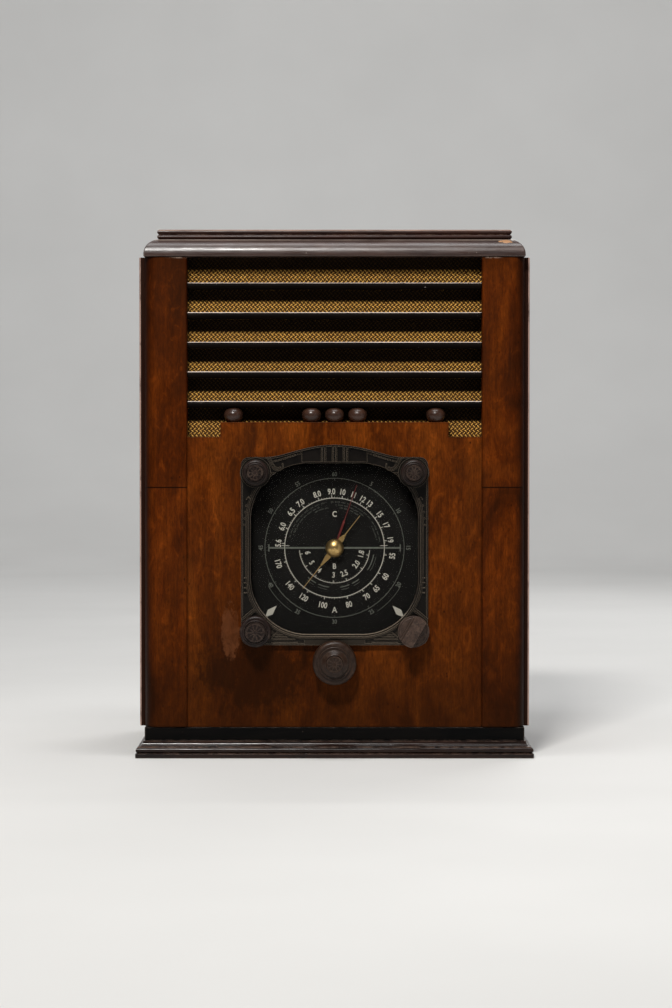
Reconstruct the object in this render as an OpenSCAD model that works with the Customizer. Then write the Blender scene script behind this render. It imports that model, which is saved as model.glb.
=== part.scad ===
/* [Cabinet] */
// Width of the front over both pilasters
front_w = 339; // [330:1:370]
// Depth from the pilaster faces to the back edges of the sides
cab_d = 240; // [234:1:280]
// Width of a pilaster
pilaster_w = 38.5; // [34:0.5:44]
// Thickness of a pilaster
pilaster_t = 16; // [15:0.5:20]
// Radius of a pilaster's outer front edge
pilaster_r = 12; // [6:0.5:13]
// Thickness of a side board
side_t = 12; // [9:0.5:15]
// How far a side board stands out past its pilaster
side_step = 4.75; // [2:0.25:6]
// How far the front panel lies behind the pilaster faces
panel_recess = 1.5; // [0.5:0.5:3]
// Leg of the glue blocks in the corners
block_leg = 18; // [12:1:24]

/* [Base] */
// Height of the base moulding
base_h = 15; // [13:0.5:22]
// How far the base moulding stands out in front of the pilasters
base_front = 8; // [5:0.5:12]
// How far the base moulding stands out past a side board
base_side = 2.75; // [1:0.25:8]
// How far the base moulding stands out behind
base_back = 2; // [0:0.5:6]
// Height of the recessed plinth
plinth_h = 12; // [8:0.5:18]
// How far the plinth lies behind the faces above it
plinth_inset = 1.5; // [0.5:0.5:4]
// Thickness of the shelf that carries the chassis
shelf_t = 12; // [9:0.5:16]

/* [Top] */
// Thickness of the top board
top_t = 16; // [15:0.5:22]
// Radius of the top board's rounded edge
top_r = 14; // [8:0.5:14.5]
// How far the top board stands out in front of the pilasters
top_lip = 1.5; // [0:0.5:4]
// Thickness of the reeded plate on the top board
plate_t = 8.6; // [6:0.2:12]
// How far the reeded plate's edge lies inside the top board's edge
plate_in = 11.5; // [8:0.5:13]

/* [Grille] */
// Height of the front panel in its middle, from its foot to the ledge
panel_h = 271.6; // [262:0.1:280]
// Height of the grille in its middle, from the ledge to the top board
grille_h = 146.8; // [142:0.1:150]
// Drop from the ledge to the panel's low shoulders
shoulder_drop = 13.2; // [8:0.2:18]
// Width of a low shoulder
shoulder_w = 29.5; // [20:0.5:36]
// Number of louvre slats
slats = 5; // [3:1:5]
// Spacing of the louvre slats
slat_pitch = 26.3; // [24:0.1:27]
// Thickness of a louvre slat
slat_t = 6; // [4:0.2:8]
// Drop from the top board to the top of the highest slat
slat_drop = 22.9; // [18:0.1:26]
// How far the slats' noses lie behind the pilaster faces
slat_recess = 2; // [1:0.5:4]
// Diameter of a turned bead
bead_d = 17; // [12:0.5:20]
// Height of a turned bead
bead_h = 12.6; // [9:0.2:15]
// Spacing of the three beads in the middle of the ledge
bead_pitch = 20.5; // [20.2:0.1:26]
// Distance of the two single beads from the middle
bead_far = 90; // [70:1:92]
// Thickness of the grille cloth
cloth_t = 0.8; // [0.4:0.1:1.5]
// Thickness of the baffle board
baffle_t = 8; // [6:0.5:12]

/* [Dial front] */
// Drop from the ledge to the dial's centre
dial_drop = 112.6; // [111:0.1:116]
// Width of the escutcheon's opening
opening_w = 149; // [144:0.5:152]
// Height of the escutcheon's opening
opening_h = 152; // [146:0.5:154]
// Corner radius of the escutcheon's opening
opening_r = 50; // [44:0.5:56]
// Width of the escutcheon over its sides
esc_w = 166; // [163:0.5:170]
// Height of the escutcheon from its foot to its shoulders
esc_h = 167; // [164:0.5:172]
// Height of the crown above the escutcheon's shoulders
crown_h = 11; // [6:0.5:16]
// Radius of the escutcheon's corner bosses
boss_r = 14; // [12.5:0.25:16]
// How far the escutcheon's plate stands out from the panel
esc_t = 4; // [3:0.25:6]
// How far the rim, crown and bosses stand out from the plate
relief_t = 3.5; // [2:0.25:5]
// Width of the opening's stepped lip
lip_w = 4.4; // [3:0.2:6]
// Thickness of the glass
glass_t = 1.8; // [1.2:0.1:2.4]
// Height of the glass's dome
glass_dome = 5; // [3.5:0.25:6]
// Space from the panel's back to the dial plate
dial_gap = 4; // [3:0.25:6]
// Thickness of the dial plate
dial_t = 1; // [0.6:0.1:1.6]

/* [Controls] */
// Distance of the corner knobs from the middle
corner_x = 70; // [68:0.25:73]
// Height of the upper knobs above the dial's centre
upper_rise = 67.7; // [66:0.25:71]
// Drop of the lower knobs below the dial's centre
lower_drop = 73; // [71:0.25:75]
// Drop of the tuning knob below the dial's centre
tuning_drop = 100.5; // [98:0.5:106]
// Diameter of the tuning knob
tuning_d = 39; // [32:0.5:44]
// Length of the tuning knob
tuning_l = 24; // [20:0.5:30]
// Diameter of the lower knobs
lower_d = 27.8; // [24:0.2:30]
// Length of the lower knobs
lower_l = 19; // [14:0.5:24]
// Diameter of the upper knobs
upper_d = 22.7; // [20:0.1:25]
// Length of the upper knobs
upper_l = 16; // [12:0.5:20]
// Diameter of a control shaft
shaft_d = 6.35; // [6:0.05:6.5]
// Angle of the band knob's bar at rest, clockwise from upright
bar_angle = 30; // [0:1:45]
// Width of the band knob's bar
bar_w = 10.5; // [8:0.25:13]
// Diameter of a potentiometer's case
pot_d = 26; // [22:0.5:27]
// Depth of a potentiometer's case
pot_l = 12; // [9:0.5:16]

/* [Tuning drive] */
// Module of the gear teeth
tooth = 0.6; // [0.5:0.02:0.64]
// Teeth of a pinion
pinion_n = 18; // [16:1:20]
// Teeth of a wheel
wheel_n = 54; // [48:2:56]
// Play between meshed teeth at the pitch line
backlash = 0.36; // [0.3:0.01:0.42]
// Angle of the pointer at rest, clockwise from upright
pointer_angle = 38; // [0:1:80]
// Angle of the second hand at rest, clockwise from upright
hand_angle = 19.5; // [0:0.5:30]
// Radius of the belt's path on the spindle's wheel
belt_wheel_r = 10; // [9:0.25:12]
// Radius of the belt's path on the tuning shaft
belt_pulley_r = 8; // [6:0.25:10]
// Radial play of a running shaft
run_play = 0.06; // [0.03:0.01:0.09]
// Gap between moving faces that only pass each other
pass_gap = 0.35; // [0.3:0.05:0.6]
// Radius of the rotor blades
rotor_r = 22; // [18:0.5:24]
// Rotor blades in one section
blades = 6; // [3:1:7]
// Spacing of the rotor blades
blade_pitch = 3.2; // [3:0.1:3.4]
// Thickness of a blade
blade_t = 0.8; // [0.5:0.05:0.9]

/* [Chassis] */
// Space from the chassis's mounting tabs to the side boards
chassis_gap = 6.25; // [5:0.25:10]
// Depth of the chassis pan
pan_d = 180; // [176:1:186]
// Height of the tuning gang's feet on the chassis pan
gang_foot_h = 27; // [24:0.5:29]
// Thickness of the sheet steel
sheet = 1.2; // [0.8:0.1:1.6]
// Space from the front panel's back to the pan
pan_gap = 31; // [30:0.5:34]
// Height of a rubber mount
mount_h = 6; // [4:0.5:8]
// Diameter of the loudspeaker
speaker_d = 152; // [140:1:156]
// Depth of the loudspeaker's basket
basket_l = 56; // [48:1:64]

/* [Hidden] */
$fn = 48;
eps = 0.01;

// Heights of the cabinet
foot_z = base_h + plinth_h;
ledge_z = foot_z + panel_h;
top_z = ledge_z + grille_h;
wall_h = top_z - foot_z;
shoulder_z = ledge_z - shoulder_drop;
plate_z = top_z + top_t;

// Depths of the cabinet, with the front towards -Y
front_y = -(cab_d + base_front + base_back) / 2 + base_front;
back_y = front_y + cab_d;
panel_y = front_y + panel_recess;
panel_back = front_y + pilaster_t;
panel_t = panel_back - panel_y;
slat_y = front_y + slat_recess;
baffle_y = panel_back + cloth_t;
baffle_back = baffle_y + baffle_t;

// Widths of the cabinet
panel_w = front_w - 2 * pilaster_w;
side_out = front_w / 2 + side_step;
side_in = side_out - side_t;
base_w = 2 * (side_out + base_side);

// The side boards' front edges sit this deep in the pilasters
side_seat = 3;
// The plinth lies this far inside the side boards
plinth_side_inset = 5;

// Grille
baffle_margin = 12;
baffle_lap = 4;
grille_foot = shoulder_z - baffle_lap;
baffle_w = panel_w + 2 * baffle_margin;
speaker_hole = speaker_d - 14;
speaker_z = (grille_foot + top_z) / 2 - 1;
bead_y = panel_back - bead_d / 2 - 0.2;

// Dial front
dial_z = ledge_z - dial_drop;
esc_foot = dial_z - esc_h / 2 - 2;
esc_top = esc_foot + esc_h;
esc_y = panel_y - esc_t;
boss_y = esc_y - relief_t;
esc_corner = 7;
edge_w = 1.5;
edge_rise = 1.1;
crown_n = 10;
crown_rise = 1.6;
crown_rim = 1.5;
crown_half = 29;
rim_half = 34;
flute_w = 1.4;
flute_pair = 2.9;
flute_spread = 9.7;
scroll_w = 1.1;
scroll_gap = 2;
dash_w = 1.2;
rib_w = 1.3;
rib_pitch = 2.9;
gable_w = 1.3;
gable_pitch = 3.2;
dot_r = 0.9;
line_rise = 1.5;
mark_rise = 2.4;
lip_bare = 1.2;
foot_bar_w = 54;
foot_bar_h = 6.5;
skirt_t = 2;
glass_margin = 2.5;
glass_play = 0.1;
glass_y = panel_y + 6;
skirt_back = glass_y + glass_t + 2;
skirt_grow = glass_margin + glass_play + skirt_t;
hole_play = 0.4;
dial_y = panel_back + dial_gap;
dial_back = dial_y + dial_t;
bracket_back = dial_back + sheet;
dial_margin = 3.5;
dial_w = opening_w + 2 * dial_margin;
dial_hgt = opening_h + 2 * dial_margin;
dial_r = opening_r + dial_margin;

lamp_r = 5;
lamp_l = 14;
lamp_seat = 12;
lamp_x = 30;
lamp_rise = opening_h / 2 + dial_margin + lamp_r + 2;

// Controls
upper_z = dial_z + upper_rise;
lower_z = dial_z - lower_drop;
tuning_z = dial_z - tuning_drop;
shaft_r = shaft_d / 2;
shaft_hole_r = shaft_r + 0.8;
knob_gap = 0.8;
bead_w = 1.2;
cap_wall = 1;
rosette_depth = 0.8;
rosette_hub = 1.6;
rosette_rib = 0.9;
rosette_n = 10;
bush_wall = 2.2;
bush_r = shaft_r + run_play + bush_wall;
nut_t = 2.4;
nut_r = 6.5;

// Chassis
shelf_z = foot_z + shelf_t;
pan_z = shelf_z + mount_h;
gang_half = rotor_r + 7;
pan_top = dial_z - gang_half - gang_foot_h;
pan_h = pan_top - pan_z;
pan_y = panel_back + pan_gap;
pan_back = pan_y + pan_d;
tab_w = 16;
pan_w = 2 * (side_in - chassis_gap - tab_w);
tab_d = 24;
tab_y = [pan_y + 30, pan_back - 30];
mount_r = 7;
bolt_r = 2.6;
mount_bore_r = bolt_r + 0.2;
mount_x = pan_w / 2 + tab_w / 2;

// Tuning drive, from the dial towards the back
rotor_shaft_r = 3;
spindle_r = 4.1;
spindle_bore_r = rotor_shaft_r + run_play;
hand_y = dial_y - 3.4;
hand_t = 0.5;
pointer_y = hand_y - 2.6;
pointer_t = 0.6;
hub_r = 8.2;
hub_l = 5;
belt_w = 4;
belt_t = 1.4;
flange_t = 1;
flange_rise = 1.6;
wheel_y = bracket_back + 1.5;
belt_y = wheel_y + flange_t;
belt_play = 0.3;
wheel_w = belt_w + 2 * belt_play;
pinion_w = 5;
gear_w = 3;
pinion_y = belt_y + wheel_w + flange_t + 1;
lay_wheel_y = pinion_y + (pinion_w - gear_w) / 2;
lay_pinion_y = pinion_y + pinion_w + 1;
rotor_gear_y = lay_pinion_y + (pinion_w - gear_w) / 2;
gear_plate_y = lay_pinion_y + pinion_w + 1.5;
centre_d = tooth * (pinion_n + wheel_n) / 2;
lay_shaft_r = 2;

// Gang
gang_sections = 2;
gang_y = gear_plate_y + sheet + 14;
gang_plate_t = 1.6;
section_l = blades * blade_pitch + 6;
gang_l = gang_sections * section_l + (gang_sections + 1) * gang_plate_t;
insulator_t = 1.5;
stator_gap_r = rotor_shaft_r + 4;

// Stands children up so that their +Z points out of the radio's front
module facing(x, y, z) translate([x, y, z]) rotate([90, 0, 0]) children();

// The same, with the front face of something h deep at y
module behind(x, y, z, h) facing(x, y + h, z) children();

module mirrored_pair() {
    children();
    mirror([1, 0, 0]) children();
}

// A box that is centred across the width
module centred_box(w, d, h) translate([-w / 2, 0, 0]) cube([w, d, h]);

// Points of a rounded rectangle, n steps to a corner
function round_rect(w, h, r, n = 10) = [
    for (q = [0 : 3]) for (i = [0 : n])
        let (a = 90 * q + 90 * i / n,
             sx = (q == 0 || q == 3) ? 1 : -1,
             sy = q < 2 ? 1 : -1)
        [sx * (w / 2 - r) + r * cos(a), sy * (h / 2 - r) + r * sin(a)]
];

// Points of an arc
function arc(cx, cy, r, a0, a1, n = 8) =
    [for (i = [0 : n]) let (a = a0 + (a1 - a0) * i / n) [cx + r * cos(a), cy + r * sin(a)]];

// A board whose front and two sides carry one edge profile, mitred at the corners.
// The profile gives [inset, height] pairs from the foot up.
module moulded_board(w, y0, y1, profile) {
    n = len(profile);
    intersection() {
        translate([0, y1, 0]) rotate([90, 0, 0]) linear_extrude(y1 - y0)
            polygon(concat([for (p = profile) [w / 2 - p[0], p[1]]],
                           [for (i = [n - 1 : -1 : 0]) [-w / 2 + profile[i][0], profile[i][1]]]));
        translate([-w / 2, 0, 0]) rotate([90, 0, 90]) linear_extrude(w)
            polygon(concat([for (p = profile) [y0 + p[0], p[1]]],
                           [[y1, profile[n - 1][1]], [y1, profile[0][1]]]));
    }
}

// Cabinet
module base_moulding() {
    fillet_h = 4;
    bead_r = 2.3;
    quirk = 0.8;
    cove_r = base_h - fillet_h - 2 * bead_r - 2 * quirk - 0.6;
    bead_z = fillet_h + quirk + bead_r;
    cove_x = 2.4;
    cove_z = base_h - 0.6;
    color([0.10, 0.07, 0.06])
        moulded_board(base_w, front_y - base_front, back_y + base_back, concat(
            [[0.5, 0], [0, 0.5], [0, fillet_h], [quirk, fillet_h + quirk / 2]],
            arc(bead_r + 0.3, bead_z, bead_r, 260, 100),
            [[cove_x - quirk, cove_z - cove_r - quirk], [cove_x, cove_z - cove_r - quirk / 2]],
            arc(cove_x, cove_z, cove_r, 270, 360, 6),
            [[cove_x + cove_r, base_h]]
        ));
}

module plinth() {
    w = 2 * (side_out - plinth_side_inset);
    color([0.03, 0.025, 0.02])
        translate([0, front_y + plinth_inset, base_h])
            centred_box(w, cab_d - plinth_inset, plinth_h);
}

module chassis_shelf() {
    color([0.72, 0.58, 0.40]) difference() {
        translate([0, panel_back, foot_z])
            centred_box(2 * side_in, back_y - panel_back, shelf_t);
        for (x = [-mount_x, mount_x], y = tab_y)
            translate([x, y, foot_z - eps]) cylinder(r = bolt_r, h = shelf_t + 2 * eps);
    }
}

module side_board() {
    color([0.36, 0.19, 0.09]) difference() {
        translate([side_in, front_y + pilaster_t - side_seat, foot_z])
            cube([side_t, back_y - front_y - pilaster_t + side_seat, wall_h]);
        // The worn front arris
        translate([side_out, front_y + pilaster_t - side_seat, foot_z - eps])
            rotate([0, 0, 45]) cube([1.4, 1.4, 3 * wall_h], center = true);
    }
}
module left_side_board() mirror([1, 0, 0]) side_board();
module right_side_board() side_board();

module pilaster() {
    ease = 1.2;
    color([0.45, 0.24, 0.10]) difference() {
        translate([0, 0, foot_z]) linear_extrude(wall_h) difference() {
            translate([panel_w / 2, front_y]) square([pilaster_w, pilaster_t]);
            difference() {
                translate([front_w / 2 - pilaster_r, front_y - 1]) square(pilaster_r + 1);
                translate([front_w / 2 - pilaster_r, front_y + pilaster_r]) circle(r = pilaster_r);
            }
            translate([panel_w / 2, front_y]) rotate(45) square(ease * sqrt(2), center = true);
        }
        // The seat of the side board's front edge
        translate([side_in, front_y + pilaster_t - side_seat, foot_z - eps])
            cube([side_t, side_seat + eps, wall_h + 2 * eps]);
    }
}
module left_pilaster() mirror([1, 0, 0]) pilaster();
module right_pilaster() pilaster();

// The dial opening and the holes of the control shafts
module control_holes(r, depth, y) {
    for (x = [-corner_x, corner_x]) {
        behind(x, y - eps, upper_z, depth + 2 * eps) cylinder(r = r, h = depth + 2 * eps);
        behind(x, y - eps, lower_z, depth + 2 * eps) cylinder(r = r, h = depth + 2 * eps);
    }
    behind(0, y - eps, tuning_z, depth + 2 * eps) cylinder(r = r, h = depth + 2 * eps);
}

module front_panel() {
    mid = panel_w - 2 * shoulder_w;
    color([0.50, 0.27, 0.11]) difference() {
        behind(0, panel_y, 0, panel_t) linear_extrude(panel_t) difference() {
            union() {
                translate([-panel_w / 2, foot_z]) square([panel_w, shoulder_z - foot_z]);
                translate([-mid / 2, shoulder_z - 1]) square([mid, shoulder_drop + 1]);
            }
            translate([0, dial_z]) polygon(round_rect(
                opening_w + 2 * (skirt_grow + hole_play), opening_h + 2 * (skirt_grow + hole_play),
                opening_r + skirt_grow + hole_play));
        }
        control_holes(shaft_hole_r, panel_t, panel_y);
    }
}

module top_board() {
    color([0.13, 0.08, 0.06])
        translate([0, 0, top_z])
            moulded_board(front_w, front_y - top_lip, back_y, concat(
                [[0, 0]], arc(top_r, top_t - top_r, top_r, 180, 90, 12)));
}

module top_plate() {
    reed_r = plate_t / 4 - 0.2;
    color([0.12, 0.07, 0.06])
        translate([0, 0, plate_z])
            moulded_board(front_w - 2 * plate_in, front_y - top_lip + plate_in, back_y, concat(
                [[reed_r, 0]], arc(reed_r, reed_r + 0.2, reed_r, 260, 100, 6),
                arc(reed_r, plate_t - reed_r - 0.2, reed_r, 260, 100, 6), [[reed_r, plate_t]]));
}

module corner_block(x, y, z, h, turn) {
    translate([x, y, z]) rotate([0, 0, turn]) linear_extrude(h)
        polygon([[0, 0], [block_leg, 0], [0, block_leg]]);
}

module corner_blocks() {
    low_h = 60;
    high_h = 90;
    color([0.70, 0.56, 0.38]) {
        corner_block(-side_in, panel_back, shelf_z, low_h, 0);
        corner_block(side_in, panel_back, shelf_z, low_h, 90);
        corner_block(-side_in, panel_back, top_z - high_h, high_h, 0);
        corner_block(side_in, panel_back, top_z - high_h, high_h, 90);
    }
}

module baffle_board() {
    color([0.62, 0.48, 0.32]) difference() {
        translate([0, baffle_y, grille_foot])
            centred_box(baffle_w, baffle_t, top_z - grille_foot);
        behind(0, baffle_y - eps, speaker_z, baffle_t + 2 * eps)
            cylinder(d = speaker_hole, h = baffle_t + 2 * eps);
    }
}

module grille_cloth() {
    color([0.62, 0.44, 0.20])
        translate([0, panel_back, grille_foot])
            centred_box(baffle_w, cloth_t, top_z - grille_foot);
}

module slat_profile() {
    depth = panel_back - slat_y;
    translate([slat_y + slat_t / 2, 0]) square([depth - slat_t / 2, slat_t]);
    translate([slat_y + slat_t / 2, slat_t / 2]) circle(d = slat_t);
}

module louvre_slats() {
    color([0.16, 0.09, 0.06]) for (i = [0 : slats - 1])
        translate([-panel_w / 2, 0, top_z - slat_drop - slat_t - i * slat_pitch])
            rotate([90, 0, 90]) linear_extrude(panel_w) slat_profile();
}

// One bead, turned, with a flat foot
module turned_bead() {
    waist = bead_d / 2 - bead_h / 2;
    rotate_extrude() intersection() {
        union() {
            square([waist, bead_h]);
            translate([waist, bead_h / 2]) circle(d = bead_h);
        }
        square([bead_d, bead_h]);
    }
}

module ledge_beads() {
    color([0.20, 0.11, 0.07])
        for (x = [-bead_far, -bead_pitch, 0, bead_pitch, bead_far])
            translate([x, bead_y, ledge_z]) turned_bead();
}

// Dial front
// Points of a smooth curve between the first and the last of four control points
function bezier(p, n = 10) = [for (i = [0 : n]) let (t = i / n, u = 1 - t)
    u * u * u * p[0] + 3 * u * u * t * p[1] + 3 * u * t * t * p[2] + t * t * t * p[3]];

// The point beside point i of a line, w / 2 to its left
function beside(pts, i, w) = let (
        a = pts[max(i - 1, 0)],
        b = pts[min(i + 1, len(pts) - 1)],
        d = (b - a) / norm(b - a))
    pts[i] + w / 2 * [-d[1], d[0]];

// A line of even width along points
module ribbon(pts, w) {
    last = len(pts) - 1;
    polygon(concat(
        [for (i = [0 : last]) beside(pts, i, w)],
        [for (i = [last : -1 : 0]) beside(pts, i, -w)]));
}

// The line beside another, at distance w / 2 on its left
function parallel(pts, w) = [for (i = [0 : len(pts) - 1]) beside(pts, i, w)];

// The crown's top edge, from left to right, lowered by drop
function crown_pts(drop = 0) = let (
        w = esc_w / 2 - boss_r * 1.6 - drop,
        left = bezier([[-w, 0], [-w * 0.72, crown_h * 0.04], [-w * 0.46, crown_h], [0, crown_h]], crown_n),
        top = esc_top - dial_z - drop)
    concat([for (q = left) [q[0], q[1] + top]],
        [for (i = [crown_n - 1 : -1 : 0]) [-left[i][0], left[i][1] + top]]);

// The escutcheon's outline, centred on the dial and drawn in by inset
module escutcheon_outline(inset = 0) {
    low = esc_foot - dial_z + inset;
    high = esc_top - dial_z - inset;
    half_w = esc_w / 2 - inset;
    translate([0, (low + high) / 2]) polygon(round_rect(2 * half_w, high - low, esc_corner - inset, 5));
    polygon(concat(crown_pts(inset), [[half_w - boss_r, high - 4], [boss_r - half_w, high - 4]]));
    for (x = [-corner_x, corner_x]) translate([x, upper_rise]) circle(r = boss_r - inset);
}

module opening_outline(grow) {
    r = opening_r + grow;
    x = opening_w / 2 - opening_r;
    y = opening_h / 2 - opening_r;
    square([2 * (x + r), 2 * y], center = true);
    square([2 * x, 2 * (y + r)], center = true);
    for (i = [-1, 1], j = [-1, 1]) translate([i * x, j * y]) circle(r = r);
}

// A raised form on the escutcheon's plate, h above it
module raised(h) facing(0, esc_y, dial_z) linear_extrude(h) children();

// The same form on the left and on the right
module both_sides() for (s = [0, 1]) mirror([s, 0]) children();

// Pairs of flutes in the middle of the crown
module crown_flutes() {
    foot = opening_h / 2 + lip_bare;
    for (x = [-flute_spread, 0, flute_spread], s = [-1, 1])
        translate([x + s * flute_pair / 2 - flute_w / 2, foot])
            square([flute_w, crown_h + esc_top - dial_z - foot - crown_rim]);
}

// The part of a form that lies below the upper knobs' axes
module low_part() {
    intersection() {
        children();
        translate([-esc_w / 2, esc_foot - dial_z]) square([esc_w, upper_rise - esc_foot + dial_z]);
    }
}

// Double line that leaves an upper boss and ends in a hook under the crown
module scroll_lines() {
    from_boss = bezier([[-62.5, 82.5], [-56.5, 80.5], [-58, 70.5], [-50.5, 69.8]]);
    hook = bezier([[-50.5, 69.8], [-46.6, 69.5], [-45, 72.5], [-46.2, 75.8]], 6);
    line = concat(from_boss, [for (i = [1 : len(hook) - 1]) hook[i]]);
    intersection() {
        escutcheon_outline();
        union() {
            ribbon(line, scroll_w);
            ribbon(parallel([for (i = [1 : len(line) - 4]) line[i]], 2 * scroll_gap), scroll_w);
        }
    }
}

// Dashes between the scroll and the crown's rim
module crown_dashes() {
    line = bezier([[-54, 77.6], [-46, 79.5], [-38, 82.4], [-28.5, 85.4]], 12);
    for (i = [0 : 2 : 10]) ribbon([line[i], line[i + 1], line[i + 2] * 0.5 + line[i + 1] * 0.5], dash_w);
}

// Ribs that run down from the lip to the lower corners, over the edge of the plate
module corner_ribs() {
    for (d = [0, rib_pitch]) ribbon([[-69.5 - d * 0.2, -51.5 - d], [-82.6, -62.5 - d * 0.8]], rib_w);
}

// Small fluted gable beside the foot
module foot_gable() {
    base = esc_foot - dial_z + 1.4;
    for (i = [0, 1]) translate([-56, base + i * gable_pitch]) square([23 - 2 * i, gable_w]);
    ribbon([[-56, base + 5.4], [-49.4, base + 11.2], [-35, base + 5]], gable_w);
    for (i = [0 : 2]) translate([-53 + i * 1.6, base + 5.6 + i * 1.7]) square([12 - i * 4, gable_w * 0.6]);
}

// Dots and ticks down a side band
module side_marks() {
    for (q = [[-78.2, 38.4], [-79, 32.7], [-79.7, 27], [-80.2, 21.3]]) translate(q) circle(r = dot_r);
    for (i = [0 : 3]) translate([-80.4, -26.2 - i * 4.4]) square([2.6, 0.9]);
    ribbon([[-74.4, 43.8], [-76.4, 46.4], [-78.2, 43.8]], 0.9);
}

module escutcheon() {
    low = esc_foot - dial_z;
    skirt_l = skirt_back - panel_y;
    color([0.16, 0.13, 0.11]) difference() {
        union() {
            // Plate
            facing(0, panel_y, dial_z) linear_extrude(esc_t) difference() {
                escutcheon_outline();
                opening_outline(0);
            }
            // Bead along the plate's edge
            raised(edge_rise) difference() {
                escutcheon_outline();
                escutcheon_outline(edge_w);
                opening_outline(lip_bare);
            }
            // Stepped lip round the opening
            raised(relief_t) low_part() difference() {
                opening_outline(lip_w * 0.72);
                opening_outline(lip_w * 0.38);
            }
            raised(relief_t * 0.55) low_part() difference() {
                opening_outline(lip_w);
                opening_outline(0);
            }
            // Crown with its rim and its flutes
            raised(crown_rise) difference() {
                intersection() {
                    escutcheon_outline();
                    translate([-crown_half, opening_h / 2]) square([2 * crown_half, 40]);
                }
                opening_outline(lip_bare);
            }
            raised(relief_t) intersection() {
                difference() {
                    escutcheon_outline();
                    escutcheon_outline(crown_rim);
                }
                translate([-rim_half, esc_top - dial_z + 1]) square([2 * rim_half, 40]);
            }
            raised(relief_t) crown_flutes();
            raised(line_rise) both_sides() {
                scroll_lines();
                crown_dashes();
                foot_gable();
            }
            raised(mark_rise) both_sides() {
                corner_ribs();
                side_marks();
            }
            // Corner bosses round the upper knobs
            for (x = [-corner_x, corner_x])
                facing(x, esc_y, upper_z) difference() {
                    cylinder(r = boss_r - 0.6, h = relief_t);
                    translate([0, 0, relief_t - 1.2]) cylinder(r = boss_r - 2.4, h = 2);
                }
            // Foot bar
            raised(relief_t - 1.5) translate([-foot_bar_w / 2, low]) square([foot_bar_w, foot_bar_h]);
            // Skirt that holds the glass
            behind(0, panel_y, dial_z, skirt_l) linear_extrude(skirt_l) difference() {
                opening_outline(skirt_grow);
                opening_outline(0);
            }
        }
        // Seat of the glass
        behind(0, glass_y, dial_z, skirt_back - glass_y + eps)
            linear_extrude(skirt_back - glass_y + eps) opening_outline(glass_margin + glass_play);
        control_holes(shaft_hole_r, esc_t + relief_t, boss_y);
    }
}

module dial_glass() {
    dome_r = opening_w / 2 - 3;
    sphere_r = (dome_r * dome_r + glass_dome * glass_dome) / (2 * glass_dome);
    color([0.85, 0.90, 0.92, 0.3]) difference() {
        union() {
            behind(0, glass_y, dial_z, glass_t) linear_extrude(glass_t)
                opening_outline(glass_margin);
            intersection() {
                translate([0, glass_y + sphere_r - glass_dome, dial_z])
                    sphere(r = sphere_r, $fn = 120);
                behind(0, glass_y - glass_dome - 1, dial_z, glass_dome + 1 + eps)
                    cylinder(r = dome_r, h = glass_dome + 1 + eps);
            }
        }
        intersection() {
            translate([0, glass_y + glass_t + sphere_r - glass_dome, dial_z])
                sphere(r = sphere_r, $fn = 120);
            behind(0, glass_y - glass_dome - 1, dial_z, glass_dome + glass_t + 2)
                cylinder(r = dome_r, h = glass_dome + glass_t + 2);
        }
    }
}

module dial_plate() {
    color([0.04, 0.04, 0.05])
        behind(0, dial_y, dial_z, dial_t) linear_extrude(dial_t) difference() {
            polygon(round_rect(dial_w, dial_hgt, dial_r));
            circle(r = spindle_r + pass_gap);
        }
}

// Sheet bracket that carries the dial plate, the lamps and the upper controls on two feet
module dial_bracket() {
    foot_x = 34;
    foot_w = 30;
    ear_r = 17;
    color([0.62, 0.62, 0.60]) {
        behind(0, dial_back, dial_z, sheet) linear_extrude(sheet) difference() {
            union() {
                polygon(round_rect(dial_w - 8, dial_hgt - 8, dial_r - 4));
                for (s = [-1, 1]) {
                    translate([s * corner_x, upper_rise]) circle(r = ear_r);
                    translate([s * (foot_x + foot_w / 2) - foot_w / 2, pan_top - dial_z])
                        square([foot_w, 30]);
                }
                translate([-lamp_x - lamp_seat, 0]) square([2 * (lamp_x + lamp_seat), lamp_rise + 6]);
            }
            circle(r = spindle_r + pass_gap);
            translate([centre_d, 0]) circle(r = lay_shaft_r + run_play);
            for (s = [-1, 1]) {
                translate([s * corner_x, upper_rise]) circle(r = bush_r + run_play);
                translate([s * lamp_x, lamp_rise]) circle(r = lamp_r + 0.6);
            }
            // What lies below the chassis deck is open for the belt
            translate([-corner_x - 30, pan_top - dial_z - 60]) square([2 * corner_x + 60, 60]);
        }
        mirrored_pair() translate([foot_x, dial_back, pan_top])
            cube([foot_w, pan_y + 14 - dial_back, sheet]);
    }
}

module lamp_sockets() {
    color([0.75, 0.66, 0.42]) for (s = [-1, 1])
        behind(s * lamp_x, bracket_back, dial_z + lamp_rise, lamp_l) difference() {
            union() {
                cylinder(r = lamp_r + 0.8, h = lamp_l);
                translate([0, 0, lamp_l - sheet]) cylinder(r = lamp_r + 3, h = sheet);
            }
            translate([0, 0, 3]) cylinder(r = lamp_r, h = lamp_l);
        }
}

module pilot_lamps() {
    tip_y = panel_back + 0.8;
    stem = bracket_back + lamp_l - 3 - tip_y - lamp_r;
    color([0.95, 0.90, 0.75, 0.5]) for (s = [-1, 1])
        behind(s * lamp_x, tip_y + lamp_r, dial_z + lamp_rise, stem) {
            cylinder(r = lamp_r, h = stem);
            translate([0, 0, stem]) sphere(r = lamp_r);
        }
}

// Gears
function inv(a) = tan(a) * 180 / PI - a;

// Half the angle of a tooth at radius r
function half_tooth(r, n) = let (
        rp = tooth * n / 2,
        rb = rp * cos(20),
        a = r > rb ? acos(rb / r) : 0)
    (PI * tooth / 2 - backlash / 2) / (2 * rp) * 180 / PI + inv(20) - inv(a);

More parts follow.
